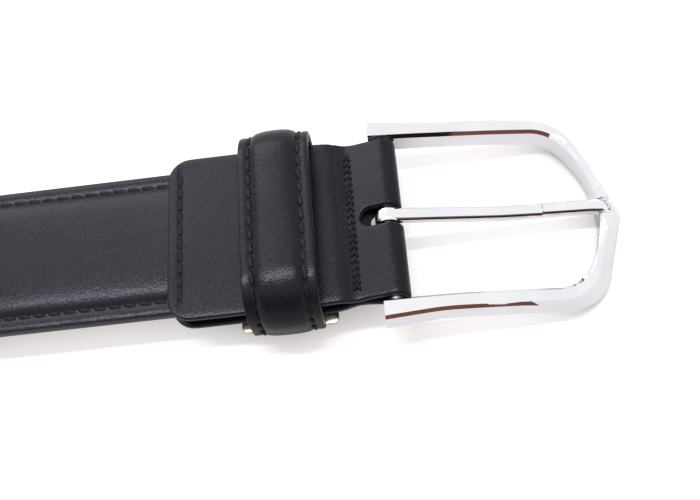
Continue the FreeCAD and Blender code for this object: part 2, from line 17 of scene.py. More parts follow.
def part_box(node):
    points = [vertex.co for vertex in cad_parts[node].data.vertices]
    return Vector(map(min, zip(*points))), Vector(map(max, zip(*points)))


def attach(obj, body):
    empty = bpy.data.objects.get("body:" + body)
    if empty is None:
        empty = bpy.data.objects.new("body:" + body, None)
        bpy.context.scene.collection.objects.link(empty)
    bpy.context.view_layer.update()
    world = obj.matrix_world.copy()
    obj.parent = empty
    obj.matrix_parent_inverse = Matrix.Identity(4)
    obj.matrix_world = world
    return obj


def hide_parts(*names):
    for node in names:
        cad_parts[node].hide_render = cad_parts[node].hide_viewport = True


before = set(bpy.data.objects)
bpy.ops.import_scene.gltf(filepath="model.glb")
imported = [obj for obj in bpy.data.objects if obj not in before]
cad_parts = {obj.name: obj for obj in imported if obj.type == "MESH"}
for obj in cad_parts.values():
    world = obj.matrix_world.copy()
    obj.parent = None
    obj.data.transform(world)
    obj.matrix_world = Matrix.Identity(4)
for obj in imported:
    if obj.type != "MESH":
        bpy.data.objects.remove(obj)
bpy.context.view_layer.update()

logging.basicConfig(level=logging.INFO, format="%(message)s")
LOG = logging.getLogger("belt")

MM = 0.001
BAR = (Vector(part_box("buckle_bar")[0]) + Vector(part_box("buckle_bar")[1])) / 2
BAR_STATION = BAR.x / MM
BAR_HEIGHT = BAR.z / MM
LEFT = math.pi
QUARTER = math.pi / 2


class Body(Enum):
    """Bodies of the frame that pieces ride on."""

    BELT = "belt"
    BUCKLE = "buckle"
    PRONG = "prong"
    KEEPER = "keeper"


class Plane(Enum):
    """Plane that a course lies in."""

    ALONG = "along the belt"
    ROUND = "round the belt"


# ------------------------------------------------------------------ objects
def new_object(name: str, data: bpy.types.ID) -> bpy.types.Object:
    """Object for a mesh, lamp or camera, linked to the scene."""
    made = bpy.data.objects.new(name, data)
    bpy.context.scene.collection.objects.link(made)
    return made


def object_of(name: str, mesh: bmesh.types.BMesh) -> bpy.types.Object:
    """Object that holds a finished mesh, which is used up."""
    data = bpy.data.meshes.new(name)
    mesh.to_mesh(data)
    mesh.free()
    return new_object(name, data)


def verts_of(geometry: list[object]) -> list[bmesh.types.BMVert]:
    """The vertices among what an operator returns."""
    return [item for item in geometry if isinstance(item, bmesh.types.BMVert)]


# ------------------------------------------------------------------ laying out
@dataclass
class Leg:
    """One straight run or bend of a course; a straight run has no radius."""

    length: float
    a: float
    b: float
    heading: float
    radius: float = 0.0
    turn: float = 0.0


class Course:
    """Straight runs and tangent bends that a flat piece is laid along."""

    def __init__(self, a: float, b: float, heading: float) -> None:
        """Start at a point of the plane with a heading in radians."""
        self.a, self.b, self.heading = a, b, heading
        self.legs: list[Leg] = []

    @property
    def length(self) -> float:
        """Whole length in millimetres."""
        return sum(leg.length for leg in self.legs)

    def straight(self, length: float) -> "Course":
        """Go straight on for a length."""
        self.legs.append(Leg(length, self.a, self.b, self.heading))
        self.a += math.cos(self.heading) * length
        self.b += math.sin(self.heading) * length
        return self

    def bend(self, radius: float, turn: float) -> "Course":
        """Turn by an angle, to the right where it is positive."""
        self.legs.append(Leg(radius * abs(turn), self.a, self.b, self.heading, radius, turn))
        self.a, self.b = self._spot(self.legs[-1], 1.0, 0.0)
        self.heading -= turn
        return self

    @staticmethod
    def _spot(leg: Leg, share: float, aside: float) -> tuple[float, float]:
        """Point at a share of a leg, moved aside to the right of the way it runs."""
        right = (math.sin(leg.heading), -math.cos(leg.heading))
        if not leg.radius:
            reach = leg.length * share
            return (leg.a + math.cos(leg.heading) * reach + right[0] * aside,
                    leg.b + math.sin(leg.heading) * reach + right[1] * aside)
        side = math.copysign(1.0, leg.turn)
        now = leg.heading - leg.turn * share
        out = side * (leg.radius - side * aside)
        return (leg.a + right[0] * leg.radius * side - math.sin(now) * out,
                leg.b + right[1] * leg.radius * side + math.cos(now) * out)

    def place(self, distance: float, aside: float) -> tuple[float, float]:
        """Point of the plane for a distance along the course and an offset to its right.

        Args:
            distance: millimetres from the start; past either end the leg there goes on.
            aside: millimetres to the right of the way the course runs.

        Returns:
            The two coordinates in the plane.
        """
        for leg in self.legs[:-1]:
            if distance <= leg.length:
                return self._spot(leg, distance / leg.length, aside)
            distance -= leg.length
        return self._spot(self.legs[-1], distance / self.legs[-1].length, aside)

    def stations(self, straight_step: float, turn_step: float) -> list[float]:
        """Distances that follow the bends closely and the straight runs loosely."""
        made, here = [0.0], 0.0
        for leg in self.legs:
            if leg.radius:
                count = max(2, math.ceil(abs(leg.turn) / turn_step))
            else:
                count = max(1, math.ceil(leg.length / straight_step))
            made += [here + leg.length * (n + 1) / count for n in range(count)]
            here += leg.length
        return made

    def lay(self, mesh: bmesh.types.BMesh, plane: Plane, offset: float = 0.0) -> None:
        """Bend a flat mesh (distance, across, aside) on to the course.

        Args:
            mesh: the flat piece, changed in place.
            plane: plane of the course.
            offset: added to the across coordinate.
        """
        for vert in mesh.verts:
            distance, across, aside = vert.co
            a, b = self.place(distance, aside)
            if plane is Plane.ALONG:
                vert.co = (a, across + offset, b)
            else:
                vert.co = (across + offset, a, b)


def keep_flat_map(mesh: bmesh.types.BMesh) -> None:
    """Store the flat place of each corner, in millimetres, as the UV map."""
    layer = mesh.loops.layers.uv.new("flat")
    for face in mesh.faces:
        for loop in face.loops:
            loop[layer].uv = (loop.vert.co.x, loop.vert.co.y)


def ring_of(mesh: bmesh.types.BMesh, points: list[Vector]) -> list[bmesh.types.BMEdge]:
    """Closed ring of edges through some points."""
    verts = [mesh.verts.new(point) for point in points]
    return [mesh.edges.new((vert, verts[(n + 1) % len(verts)])) for n, vert in enumerate(verts)]


def strip(section: list[tuple[float, float]], stations: list[float],
          joined: bool = False) -> bmesh.types.BMesh:
    """Flat strip of one cross-section.

    Args:
        section: (across, aside) points of the closed section, in order.
        stations: distances at which the strip has a ring.
        joined: leave the ends open, because they meet once the strip is laid.

    Returns:
        A new mesh in (distance, across, aside).
    """
    mesh = bmesh.new()
    ring = ring_of(mesh, [Vector((stations[0], across, aside)) for across, aside in section])
    if not joined:
        bmesh.ops.contextual_create(mesh, geom=ring)
    for before, after in zip(stations, stations[1:]):
        made = bmesh.ops.extrude_edge_only(mesh, edges=ring)["geom"]
        moved = verts_of(made)
        bmesh.ops.translate(mesh, vec=(after - before, 0, 0), verts=moved)
        fresh = set(moved)
        ring = [item for item in made if isinstance(item, bmesh.types.BMEdge)
                and fresh.issuperset(item.verts)]
    if not joined:
        bmesh.ops.contextual_create(mesh, geom=ring)
    bmesh.ops.recalc_face_normals(mesh, faces=mesh.faces)
    return mesh


def slab(outline: list[tuple[float, float]], low: float, high: float) -> bmesh.types.BMesh:
    """Flat plate with an outline in plan, between two heights."""
    mesh = bmesh.new()
    ring = ring_of(mesh, [Vector((x, y, low)) for x, y in outline])
    base = bmesh.ops.contextual_create(mesh, geom=ring)["faces"]
    made = bmesh.ops.extrude_face_region(mesh, geom=base)["geom"]
    bmesh.ops.translate(mesh, vec=(0, 0, high - low), verts=verts_of(made))
    bmesh.ops.recalc_face_normals(mesh, faces=mesh.faces)
    return mesh


def round_edges(mesh: bmesh.types.BMesh, width: float, segments: int,
                least: float = math.radians(50)) -> None:
    """Round every edge that turns by more than an angle."""
    sharp = [edge for edge in mesh.edges
             if len(edge.link_faces) == 2 and edge.calc_face_angle(0.0) > least]
    bmesh.ops.bevel(mesh, geom=sharp, offset=width, offset_type="OFFSET", segments=segments,
                    profile=0.5, affect="EDGES", clamp_overlap=True, material=-1)


def cross_cuts(mesh: bmesh.types.BMesh, axis: Vector, stations: list[float]) -> None:
    """Cut a mesh across at each station along an axis, keeping both sides."""
    for station in stations:
        geometry = mesh.verts[:] + mesh.edges[:] + mesh.faces[:]
        bmesh.ops.bisect_plane(mesh, geom=geometry, dist=1e-5, plane_co=axis * station,
                               plane_no=axis)


def combine(mesh: bmesh.types.BMesh, tool: bmesh.types.BMesh, how: str) -> bmesh.types.BMesh:
    """Boolean of two closed meshes; both are used up.

    Args:
        mesh: the piece.
        tool: what is taken from it or joined to it.
        how: DIFFERENCE or UNION.

    Returns:
        The new mesh.
    """
    holders = [object_of("work", source) for source in (mesh, tool)]
    modifier = holders[0].modifiers.new("work", "BOOLEAN")
    modifier.object = holders[1]
    modifier.operation = how
    modifier.solver = "EXACT"
    graph = bpy.context.evaluated_depsgraph_get()
    result = bmesh.new()
    result.from_object(holders[0], graph)
    for holder in holders:
        data = holder.data
        bpy.data.objects.remove(holder)
        bpy.data.meshes.remove(data)
    return result


def finish_piece(name: str, mesh: bmesh.types.BMesh, material: bpy.types.Material, body: Body,
                 stands_for: tuple[str, ...],
                 smooth: float = math.radians(40)) -> bpy.types.Object:
    """Turn a mesh in millimetres about the bar into a piece that rides on a body.

    Args:
        name: name of the piece.
        mesh: finished mesh, used up.
        material: its finish.
        body: body that it moves with.
        stands_for: nodes of the frame that it replaces.
        smooth: edges that turn by more than this stay sharp.

    Returns:
        The new object.
    """
    bmesh.ops.remove_doubles(mesh, verts=mesh.verts, dist=1e-3)
    bmesh.ops.recalc_face_normals(mesh, faces=mesh.faces)
    bmesh.ops.transform(mesh, verts=mesh.verts, matrix=Matrix.Translation((BAR_STATION, 0, 0)))
    bmesh.ops.transform(mesh, verts=mesh.verts, matrix=Matrix.Scale(MM, 4))
    piece = object_of(name, mesh)
    data = piece.data
    data.polygons.foreach_set("use_smooth", [True] * len(data.polygons))
    data.set_sharp_from_angle(angle=smooth)
    data.materials.append(material)
    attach(piece, body.value)
    if stands_for:
        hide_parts(*stands_for)
    LOG.info("%-22s %6d faces", name, len(data.polygons))
    return piece


# ------------------------------------------------------------------ finishes
class Nodes:
    """Small builder for a node tree."""

    def __init__(self, tree: bpy.types.NodeTree) -> None:
        """Work on a tree."""
        self.tree = tree

    def add(self, kind: str, **settings: object) -> bpy.types.Node:
        """New node; settings whose names are sockets set those, the others its properties."""
        node = self.tree.nodes.new(kind)
        for key, value in settings.items():
            if key in node.inputs:
                node.inputs[key].default_value = value
            else:
                setattr(node, key, value)
        return node

    def link(self, source: bpy.types.NodeSocket, target: bpy.types.NodeSocket) -> None:
        """Connect two sockets."""
        self.tree.links.new(source, target)

    def reckon(self, operation: str, *values: bpy.types.NodeSocket | float
               ) -> bpy.types.NodeSocket:
        """Result of an arithmetic node; sockets are linked, numbers are set."""
        node = self.add("ShaderNodeMath", operation=operation)
        for socket, value in zip(node.inputs, values):
            if isinstance(value, bpy.types.NodeSocket):
                self.link(value, socket)
            else:
                socket.default_value = value
        return node.outputs[0]

    def ramp(self, source: bpy.types.NodeSocket, low: float, high: float,
             to_low: float = 0.0, to_high: float = 1.0) -> bpy.types.NodeSocket:
        """Rescale a value from one range to another, clamped."""
        node = self.add("ShaderNodeMapRange")
        for socket, value in zip(("From Min", "From Max", "To Min", "To Max"),
                                 (low, high, to_low, to_high)):
            node.inputs[socket].default_value = value
        self.link(source, node.inputs["Value"])
        return node.outputs["Result"]


class Shader(Nodes):
    """Node material of one finish."""

    def __init__(self, name: str) -> None:
        """Start a material whose Principled shader is kept at hand."""
        self.material = bpy.data.materials.new(name)
        self.material.use_nodes = True
        super().__init__(self.material.node_tree)
        self.surface = self.tree.nodes["Principled BSDF"]
        self.place = self.add("ShaderNodeTexCoord")

    def set(self, **settings: object) -> None:
        """Set inputs of the Principled shader to values, or link them to sources.

        Args:
            settings: value or source for each input, with _ for each space of its name.
        """
        for key, value in settings.items():
            socket = self.surface.inputs[key.replace("_", " ")]
            if isinstance(value, bpy.types.NodeSocket):
                self.link(value, socket)
            else:
                socket.default_value = value

    def finish(self, source: bpy.types.NodeSocket) -> None:
        """Show another shader in place of the Principled one."""
        self.tree.nodes.remove(self.surface)
        self.link(source, self.tree.nodes["Material Output"].inputs["Surface"])

    def noise(self, scale: float, detail: float = 3.0, rough: float = 0.55) -> bpy.types.Node:
        """Noise on the piece's own coordinates; scale is in cells a metre."""
        node = self.add("ShaderNodeTexNoise", Scale=scale, Detail=detail, Roughness=rough)
        self.link(self.place.outputs["Object"], node.inputs["Vector"])
        return node

    def cells(self, scale: float, spread: float) -> bpy.types.Node:
        """Cell pattern on the piece's own coordinates."""
        node = self.add("ShaderNodeTexVoronoi", Scale=scale, Randomness=spread)
        self.link(self.place.outputs["Object"], node.inputs["Vector"])
        return node

    def drawn(self, kind: str, change: dict[str, tuple[float, float, float]],
              **settings: object) -> bpy.types.Node:
        """Pattern on coordinates that are turned or stretched first.

        Args:
            kind: kind of pattern node.
            change: Rotation or Scale of the coordinates.
            settings: settings of the pattern.

        Returns:
            The pattern node.
        """
        mapping = self.add("ShaderNodeMapping", **change)
        self.link(self.place.outputs["Object"], mapping.inputs["Vector"])
        node = self.add(kind, **settings)
        self.link(mapping.outputs["Vector"], node.inputs["Vector"])
        return node

    def mix(self, share: bpy.types.NodeSocket, first: tuple[float, float, float],
            second: tuple[float, float, float]) -> bpy.types.NodeSocket:
        """Blend of two colours by a share."""
        node = self.add("ShaderNodeMix", data_type="RGBA")
        node.inputs[6].default_value = (*first, 1.0)
        node.inputs[7].default_value = (*second, 1.0)
        self.link(share, node.inputs[0])
        return node.outputs[2]

    def bump(self, height: bpy.types.NodeSocket, strength: float, depth: float,
             under: bpy.types.Node | None = None) -> bpy.types.Node:
        """Bump of a height pattern, on top of another bump if one is given."""
        node = self.add("ShaderNodeBump", Strength=strength, Distance=depth)
        self.link(height, node.inputs["Height"])
        if under is not None:
            self.link(under.outputs["Normal"], node.inputs["Normal"])
        return node


@dataclass(frozen=True)
class Leather:
    """Dyed leather with a fine printed grain."""

    name: str
    colour: tuple[float, float, float] = (0.0060, 0.0060, 0.0090)
    worn: tuple[float, float, float] = (0.0095, 0.0095, 0.0130)
    patches: float = 45.0
    waves: float = 160.0
    wave_depth: float = 0.0004
    grain: float = 2300.0
    grain_depth: float = 0.00009
    grain_strength: float = 0.35
    hair_depth: float = 0.00003
    rough: tuple[float, float] = (0.23, 0.34)
    shine: float = 0.16
    shine_tint: tuple[float, float, float, float] = (0.86, 0.88, 1.0, 1.0)

    def build(self) -> bpy.types.Material:
        """Make the material."""
        shader = Shader(self.name)
        broad = shader.noise(self.patches)
        pores = shader.cells(self.grain, 0.9)
        creases = shader.noise(self.grain * 0.45, 4.0, 0.6)
        fine = shader.noise(self.grain * 3.0, 2.0)
        wide = shader.noise(self.waves, 2.0)
        waved = shader.bump(wide.outputs["Fac"], 0.25, self.wave_depth)
        pored = shader.bump(pores.outputs["Distance"], self.grain_strength,
                            self.grain_depth, waved)
        creased = shader.bump(creases.outputs["Fac"], self.grain_strength,
                              self.grain_depth, pored)
        skin = shader.bump(fine.outputs["Fac"], 0.2, self.hair_depth, creased)
        shader.set(Base_Color=shader.mix(shader.ramp(broad.outputs["Fac"], 0.35, 0.7),
                                         self.colour, self.worn),
                   Normal=skin.outputs["Normal"],
                   Roughness=shader.ramp(creases.outputs["Fac"], 0.3, 0.7, *self.rough),
                   Specular_IOR_Level=self.shine, Specular_Tint=self.shine_tint)
        return shader.material


@dataclass(frozen=True)
class Split:
    """Plain matt leather or board: the lining and the cut edges."""

    name: str
    colour: tuple[float, float, float] = (0.20, 0.178, 0.172)
    dark: tuple[float, float, float] = (0.12, 0.105, 0.10)
    fibres: float = 1500.0
    blotches: float = 80.0
    nap_depth: float = 0.0001
    rough: tuple[float, float] = (0.72, 0.9)
    shine: float = 0.3

    def build(self) -> bpy.types.Material:
        """Make the material."""
        shader = Shader(self.name)
        fibre = shader.noise(self.fibres, 5.0, 0.7)
        blotch = shader.noise(self.blotches)
        mottle = shader.reckon("MULTIPLY", fibre.outputs["Fac"], blotch.outputs["Fac"])
        nap = shader.bump(fibre.outputs["Fac"], 0.5, self.nap_depth)
        shader.set(Base_Color=shader.mix(shader.ramp(mottle, 0.12, 0.36),
                                         self.dark, self.colour),
                   Normal=nap.outputs["Normal"],
                   Roughness=shader.ramp(blotch.outputs["Fac"], 0.3, 0.7, *self.rough),
                   Specular_IOR_Level=self.shine)
        return shader.material


@dataclass(frozen=True)
class Thread:
    """Waxed twisted thread."""

    name: str
    colour: tuple[float, float, float] = (0.003, 0.003, 0.004)
    light: tuple[float, float, float] = (0.009, 0.009, 0.012)
    lay: tuple[float, float, float] = (0.0, 0.3, math.radians(35))
    twists: float = 700.0
    twist_depth: float = 0.00012
    waxing: float = 900.0
    rough: tuple[float, float] = (0.38, 0.6)
    shine: float = 0.14

    def build(self) -> bpy.types.Material:
        """Make the material."""
        shader = Shader(self.name)
        twist = shader.drawn("ShaderNodeTexWave", {"Rotation": self.lay},
                             Scale=self.twists, Distortion=1.5, Detail=2.0)
        ply = shader.bump(twist.outputs["Fac"], 0.6, self.twist_depth)
        wax = shader.noise(self.waxing, 2.0)
        shader.set(Base_Color=shader.mix(shader.ramp(twist.outputs["Fac"], 0.2, 0.9),
                                         self.colour, self.light),
                   Normal=ply.outputs["Normal"],
                   Roughness=shader.ramp(wax.outputs["Fac"], 0.3, 0.7, *self.rough),
                   Specular_IOR_Level=self.shine)
        return shader.material


@dataclass(frozen=True)
class Metal:
    """Polished or drawn metal with fine handling marks."""

    name: str
    colour: tuple[float, float, float] = (0.90, 0.905, 0.925)
    tint: tuple[float, float, float] = (0.84, 0.85, 0.885)
    rough: tuple[float, float] = (0.03, 0.07)
    hazes: float = 120.0
    scratches: float = 2600.0
    marks: float = 0.03
    marks_depth: float = 0.00004
    draw: tuple[float, float, float] = (0.15, 1.0, 1.0)

    def build(self) -> bpy.types.Material:
        """Make the material."""
        shader = Shader(self.name)
        haze = shader.noise(self.hazes)
        scratch = shader.drawn("ShaderNodeTexNoise", {"Scale": self.draw},
                               Scale=self.scratches, Detail=3.0)
        marks = shader.bump(scratch.outputs["Fac"], self.marks, self.marks_depth)
        shader.set(Base_Color=shader.mix(shader.ramp(haze.outputs["Fac"], 0.35, 0.65),
                                         self.colour, self.tint),
                   Metallic=1.0, Normal=marks.outputs["Normal"],
                   Roughness=shader.ramp(haze.outputs["Fac"], 0.3, 0.7, *self.rough))
        return shader.material


@dataclass
class Finishes:
    """Every finish of the belt, built once."""

    leather: bpy.types.Material = field(default_factory=Leather("black_leather").build)
    lining: bpy.types.Material = field(default_factory=Split("lining_leather").build)
    board: bpy.types.Material = field(default_factory=Split(
        "bonded_board", colour=(0.24, 0.21, 0.20), dark=(0.12, 0.10, 0.095)).build)
    thread: bpy.types.Material = field(default_factory=Thread("waxed_thread").build)
    chrome: bpy.types.Material = field(default_factory=Metal("polished_chrome").build)
    steel: bpy.types.Material = field(default_factory=Metal(
        "plain_steel", colour=(0.60, 0.60, 0.61), tint=(0.5, 0.5, 0.51),
        rough=(0.22, 0.34), marks=0.15).build)
    brass: bpy.types.Material = field(default_factory=Metal(
        "clip_brass", colour=(0.46, 0.41, 0.34), tint=(0.34, 0.29, 0.22),
        rough=(0.28, 0.42), marks=0.12).build)


# ------------------------------------------------------------------ stitches
@dataclass(frozen=True)
class Stitch:
    """Size and slant of one stitch."""

    length: float
    width: float
    height: float
    slant: float = 0.0
    around: int = 7
    rings: int = 6

    def row(self, spots: list[tuple[float, float, float, float]]) -> bmesh.types.BMesh:
        """Copies of the stitch.

        Args:
            spots: for each, its place (distance, across, aside) and its heading in the plane.

        Returns:
            A mesh in (distance, across, aside).
        """
        one = bmesh.new()
        bmesh.ops.create_uvsphere(one, u_segments=self.around, v_segments=self.rings,
                                  radius=0.5)
        lie = Matrix.Rotation(QUARTER, 4, "Y")
        size = Matrix.Diagonal((self.length, self.width, self.height, 1.0))
        bmesh.ops.transform(one, verts=one.verts, matrix=size @ lie)
        template = bpy.data.meshes.new("stitch")
        one.to_mesh(template)
        one.free()
        mesh = bmesh.new()
        for distance, across, aside, heading in spots:
            start = len(mesh.verts)
            mesh.from_mesh(template)
            mesh.verts.ensure_lookup_table()
            turn = Matrix.Rotation(heading + self.slant, 4, "Z")
            bmesh.ops.transform(mesh, verts=mesh.verts[start:],
                                matrix=Matrix.Translation((distance, across, aside)) @ turn)
        bpy.data.meshes.remove(template)
        return mesh


def rounded(corners: list[tuple[float, float, float]], arc_steps: int = 6,
            run_steps: int = 1) -> list[tuple[float, float]]:
    """Closed outline with rounded corners.

    Args:
        corners: x, y and radius of each corner, in order round the outline.
        arc_steps: pieces in each rounded corner.
        run_steps: pieces in each straight run between corners.

    Returns:
        Points of the outline; the run from the last corner to the first isn't divided.
    """
    arcs = []
    for number, (x, y, radius) in enumerate(corners):
        point = Vector((x, y))
        back = (Vector(corners[number - 1][:2]) - point).normalized()
        ahead = (Vector(corners[(number + 1) % len(corners)][:2]) - point).normalized()
        if not radius:
            arcs.append([point])
            continue
        half = back.angle(ahead) / 2
        centre = point + (back + ahead).normalized() * (radius / math.sin(half))
        reach = radius / math.tan(half)
        first = point + back * reach - centre
        last = point + ahead * reach - centre
        arcs.append([centre + first.slerp(last, step / arc_steps).normalized() * radius
                     for step in range(arc_steps + 1)])
    made = list(arcs[0])
    for arc in arcs[1:]:
        start = made[-1]
        made += [start.lerp(arc[0], step / run_steps) for step in range(1, run_steps)]
        made += arc
    return [(point.x, point.y) for point in made]


def smooth_step(low: float, high: float, value: float) -> float:
    """Soft change from 0 at low to 1 at high."""
    share = min(1.0, max(0.0, (value - low) / (high - low)))
    return share * share * (3 - 2 * share)


def along(points: tuple[tuple[float, float], ...], value: float) -> float:
    """Height at a place, read from straight runs through some points in order of place."""
    if value <= points[0][0]:
        return points[0][1]
    for (x0, z0), (x1, z1) in zip(points, points[1:]):
        if value <= x1:
            return z0 + (z1 - z0) * (value - x0) / (x1 - x0)
    return points[-1][1]


# ------------------------------------------------------------------ strap
@dataclass
class Strap:
    """Padded strap with its lining, rolled up behind."""

    finishes: Finishes
    width: float = 31.6
    lining: float = 1.0
    board: float = 0.4
    face: float = 1.2
    start: float = 12.0
    chape_end: float = 44.5
    level_run: float = 35.5
    ramp_run: float = 55.0
    rest_run: float = 35.0
    roll_radius: float = 46.0
    turn_pitch: float = 5.6
    half_turns: int = 7
    tip_run: float = 30.0
    tip_shoulder: float = 5.0
    hole_size: float = 4.0
    hole_pitch: float = 25.0
    hole_count: int = 5
    middle_hole: float = 885.0
    hole_sides: int = 20
    tip_flat: float = 0.02
    tip_power: float = 1.285
    tip_rings: int = 16
    tip_crowding: float = 0.8
    fade_run: float = 6.0
    step: float = 6.0
    turn_step: float = math.radians(7.5)
    stitch_inset: float = 2.7
    stitch_pitch: float = 3.05
    stitch_clear: float = 0.4
    stitch_look: float = 0.5
    stitch: Stitch = Stitch(2.65, 0.98, 0.62, math.radians(8))
    stitch_sink: float = 0.12
    under_height: float = 0.36
    under_aside: float = 0.2
    course: Course = field(init=False)

    def __post_init__(self) -> None:
        """Lay out the course of the underside of the strap."""
        base = BAR_HEIGHT - (self.lining + self.board + self.face) / 2
        radius = (self.ramp_run ** 2 + base ** 2) / (4 * base)
        angle = math.asin(self.ramp_run / 2 / radius)
        self.course = Course(-self.start, base, LEFT)
        self.course.straight(self.chape_end - self.start).straight(self.level_run)
        self.course.bend(radius, -angle).bend(radius, angle).straight(self.rest_run)
        for turn in range(self.half_turns):
            self.course.bend(self.roll_radius - turn * self.turn_pitch / 2, math.pi)
        tip_radius = self.roll_radius - self.half_turns * self.turn_pitch / 2
        self.course.bend(tip_radius, self.tip_run / tip_radius)

    @property
    def tip_start(self) -> float:
        """Distance at which the pointed end begins."""
        return self.course.length - self.tip_run

    def half_width(self, distance: float, inset: float = 0.0) -> float:
        """Half of the width at a distance, drawn in to a point at the tip."""
        shoulder = self.tip_start + self.tip_shoulder
        share = (distance - shoulder) / (self.course.length - inset - shoulder)
        full = self.width / 2 - inset
        if share <= 0:
            return full
        rounding = math.cos(QUARTER * min(1.0, share) ** self.tip_power)
        return full * max(self.tip_flat, rounding)

    def face_section(self) -> list[tuple[float, float]]:
        """Cross-section of the face: burnished edge, stitch groove, padded middle."""
        half = self.width / 2
        edge = self.lining + self.board + self.face
        side = [(half, edge - self.face + 0.02), (half, edge - 0.35), (half - 0.1, edge - 0.12),
                (half - 0.35, edge), (half - 1.2, edge + 0.02), (half - 2.1, edge - 0.02),
                (half - 2.4, edge - 0.14), (half - 2.7, edge - 0.2), (half - 3.0, edge - 0.1),
                (half - 3.3, edge + 0.12), (half - 3.9, edge + 0.42), (half - 4.8, edge + 0.68),
                (half - 6.0, edge + 0.85), (half - 7.6, edge + 0.95), (half - 10, edge + 0.99)]
        return side + [(0.0, edge + 1.0)] + [(-y, t) for y, t in reversed(side)]

    def lining_section(self) -> list[tuple[float, float]]:
        """Cross-section of the lining, with a groove for the under stitches."""
        half = self.width / 2
        side = [(half - 0.12, self.lining), (half, self.lining - 0.1), (half, 0.15),
                (half - 0.15, 0.0), (half - 2.2, 0.0), (half - 2.4, 0.24), (half - 3.0, 0.24),
                (half - 3.2, 0.0)]
        return side + [(-y, t) for y, t in reversed(side)]

    def board_section(self) -> list[tuple[float, float]]:
        """Cross-section of the thin board between them, a little back from the edge."""
        half = self.width / 2 - 0.12
        low, high = self.lining + 0.01, self.lining + self.board
        return [(half, high), (half, low), (-half, low), (-half, high)]

    def punches(self) -> bmesh.types.BMesh:
        """Round tools for the prong holes."""
        tools = bmesh.new()
        middle = (self.hole_count - 1) / 2
        for number in range(self.hole_count):
            distance = self.middle_hole + (number - middle) * self.hole_pitch
            bmesh.ops.create_cone(
                tools, cap_ends=True, segments=self.hole_sides, radius1=self.hole_size / 2,
                radius2=self.hole_size / 2, depth=12.0,
                matrix=Matrix.Translation((distance, 0.0, 2.0)))
        return tools

    def layer(self, name: str, section: list[tuple[float, float]],
              material: bpy.types.Material, slot: str,
              stands_for: tuple[str, ...]) -> None:
        """Make one layer of the strap, from flat to laid.

        Args:
            name: name of the piece.
            section: its cross-section.
            material: its finish.
            slot: not used.
            stands_for: nodes that it replaces.
        """
        stations = [place for place in self.course.stations(self.step, self.turn_step)
                    if place <= self.tip_start]
        stations += [self.tip_start + self.tip_run * (n / self.tip_rings) ** self.tip_crowding
                     for n in range(1, self.tip_rings + 1)]
        mesh = strip(section, stations)
        flat_top = self.lining + self.board + self.face
        for vert in mesh.verts:
            vert.co.y *= self.half_width(vert.co.x) / (self.width / 2)
            if vert.co.z > flat_top:
                fade = 1 - smooth_step(self.tip_start - self.fade_run,
                                       self.tip_start + self.fade_run, vert.co.x)
                vert.co.z = flat_top + (vert.co.z - flat_top) * fade
        mesh = combine(mesh, self.punches(), "DIFFERENCE")
        keep_flat_map(mesh)
        self.course.lay(mesh, Plane.ALONG)
        finish_piece(name, mesh, material, Body.BELT, stands_for)

    def row_spots(self, aside: float) -> list[tuple[float, float, float, float]]:
        """Places of the stitches down both sides and round the tip."""
        spots = []
        first = self.chape_end - self.start + self.stitch_pitch / 2
        half = self.width / 2 - self.stitch_inset
        count = int((self.tip_start + self.tip_shoulder - first) / self.stitch_pitch)
        for number in range(count):
            distance = first + number * self.stitch_pitch
            for side in (1, -1):
                spots.append((distance, side * half, aside, 0.0))
        distance = first + count * self.stitch_pitch
        while distance < self.course.length - self.stitch_inset - self.stitch_clear:
            here = self.half_width(distance, self.stitch_inset)
            ahead = self.half_width(distance + self.stitch_look, self.stitch_inset)
            slope = math.atan2(ahead - here, self.stitch_look)
            for side in (1, -1):
                spots.append((distance, side * here, aside, side * slope))
            distance += self.stitch_pitch * math.cos(slope)
        return spots

    def build(self) -> None:
        """Make every piece of the strap."""
        self.layer("strap_face_padded", self.face_section(), self.finishes.leather,
                   "black_leather", ("strap_face", "strap_padding"))
        self.layer("strap_board", self.board_section(), self.finishes.board,
                   "bonded_board", ("strap_interlining",))
        self.layer("strap_back", self.lining_section(), self.finishes.lining,
                   "lining_leather", ("strap_lining",))
        top = self.lining + self.board + self.face - self.stitch_sink
        for name, aside, node, stitch in (
                ("strap_stitches", top, "strap_needle_thread", self.stitch),
                ("strap_stitches_under", self.under_aside, "strap_bobbin_thread",
                 replace(self.stitch, height=self.under_height))):
            seam = stitch.row(self.row_spots(aside))
            self.course.lay(seam, Plane.ALONG)
            finish_piece(name, seam, self.finishes.thread, Body.BELT, (node,))


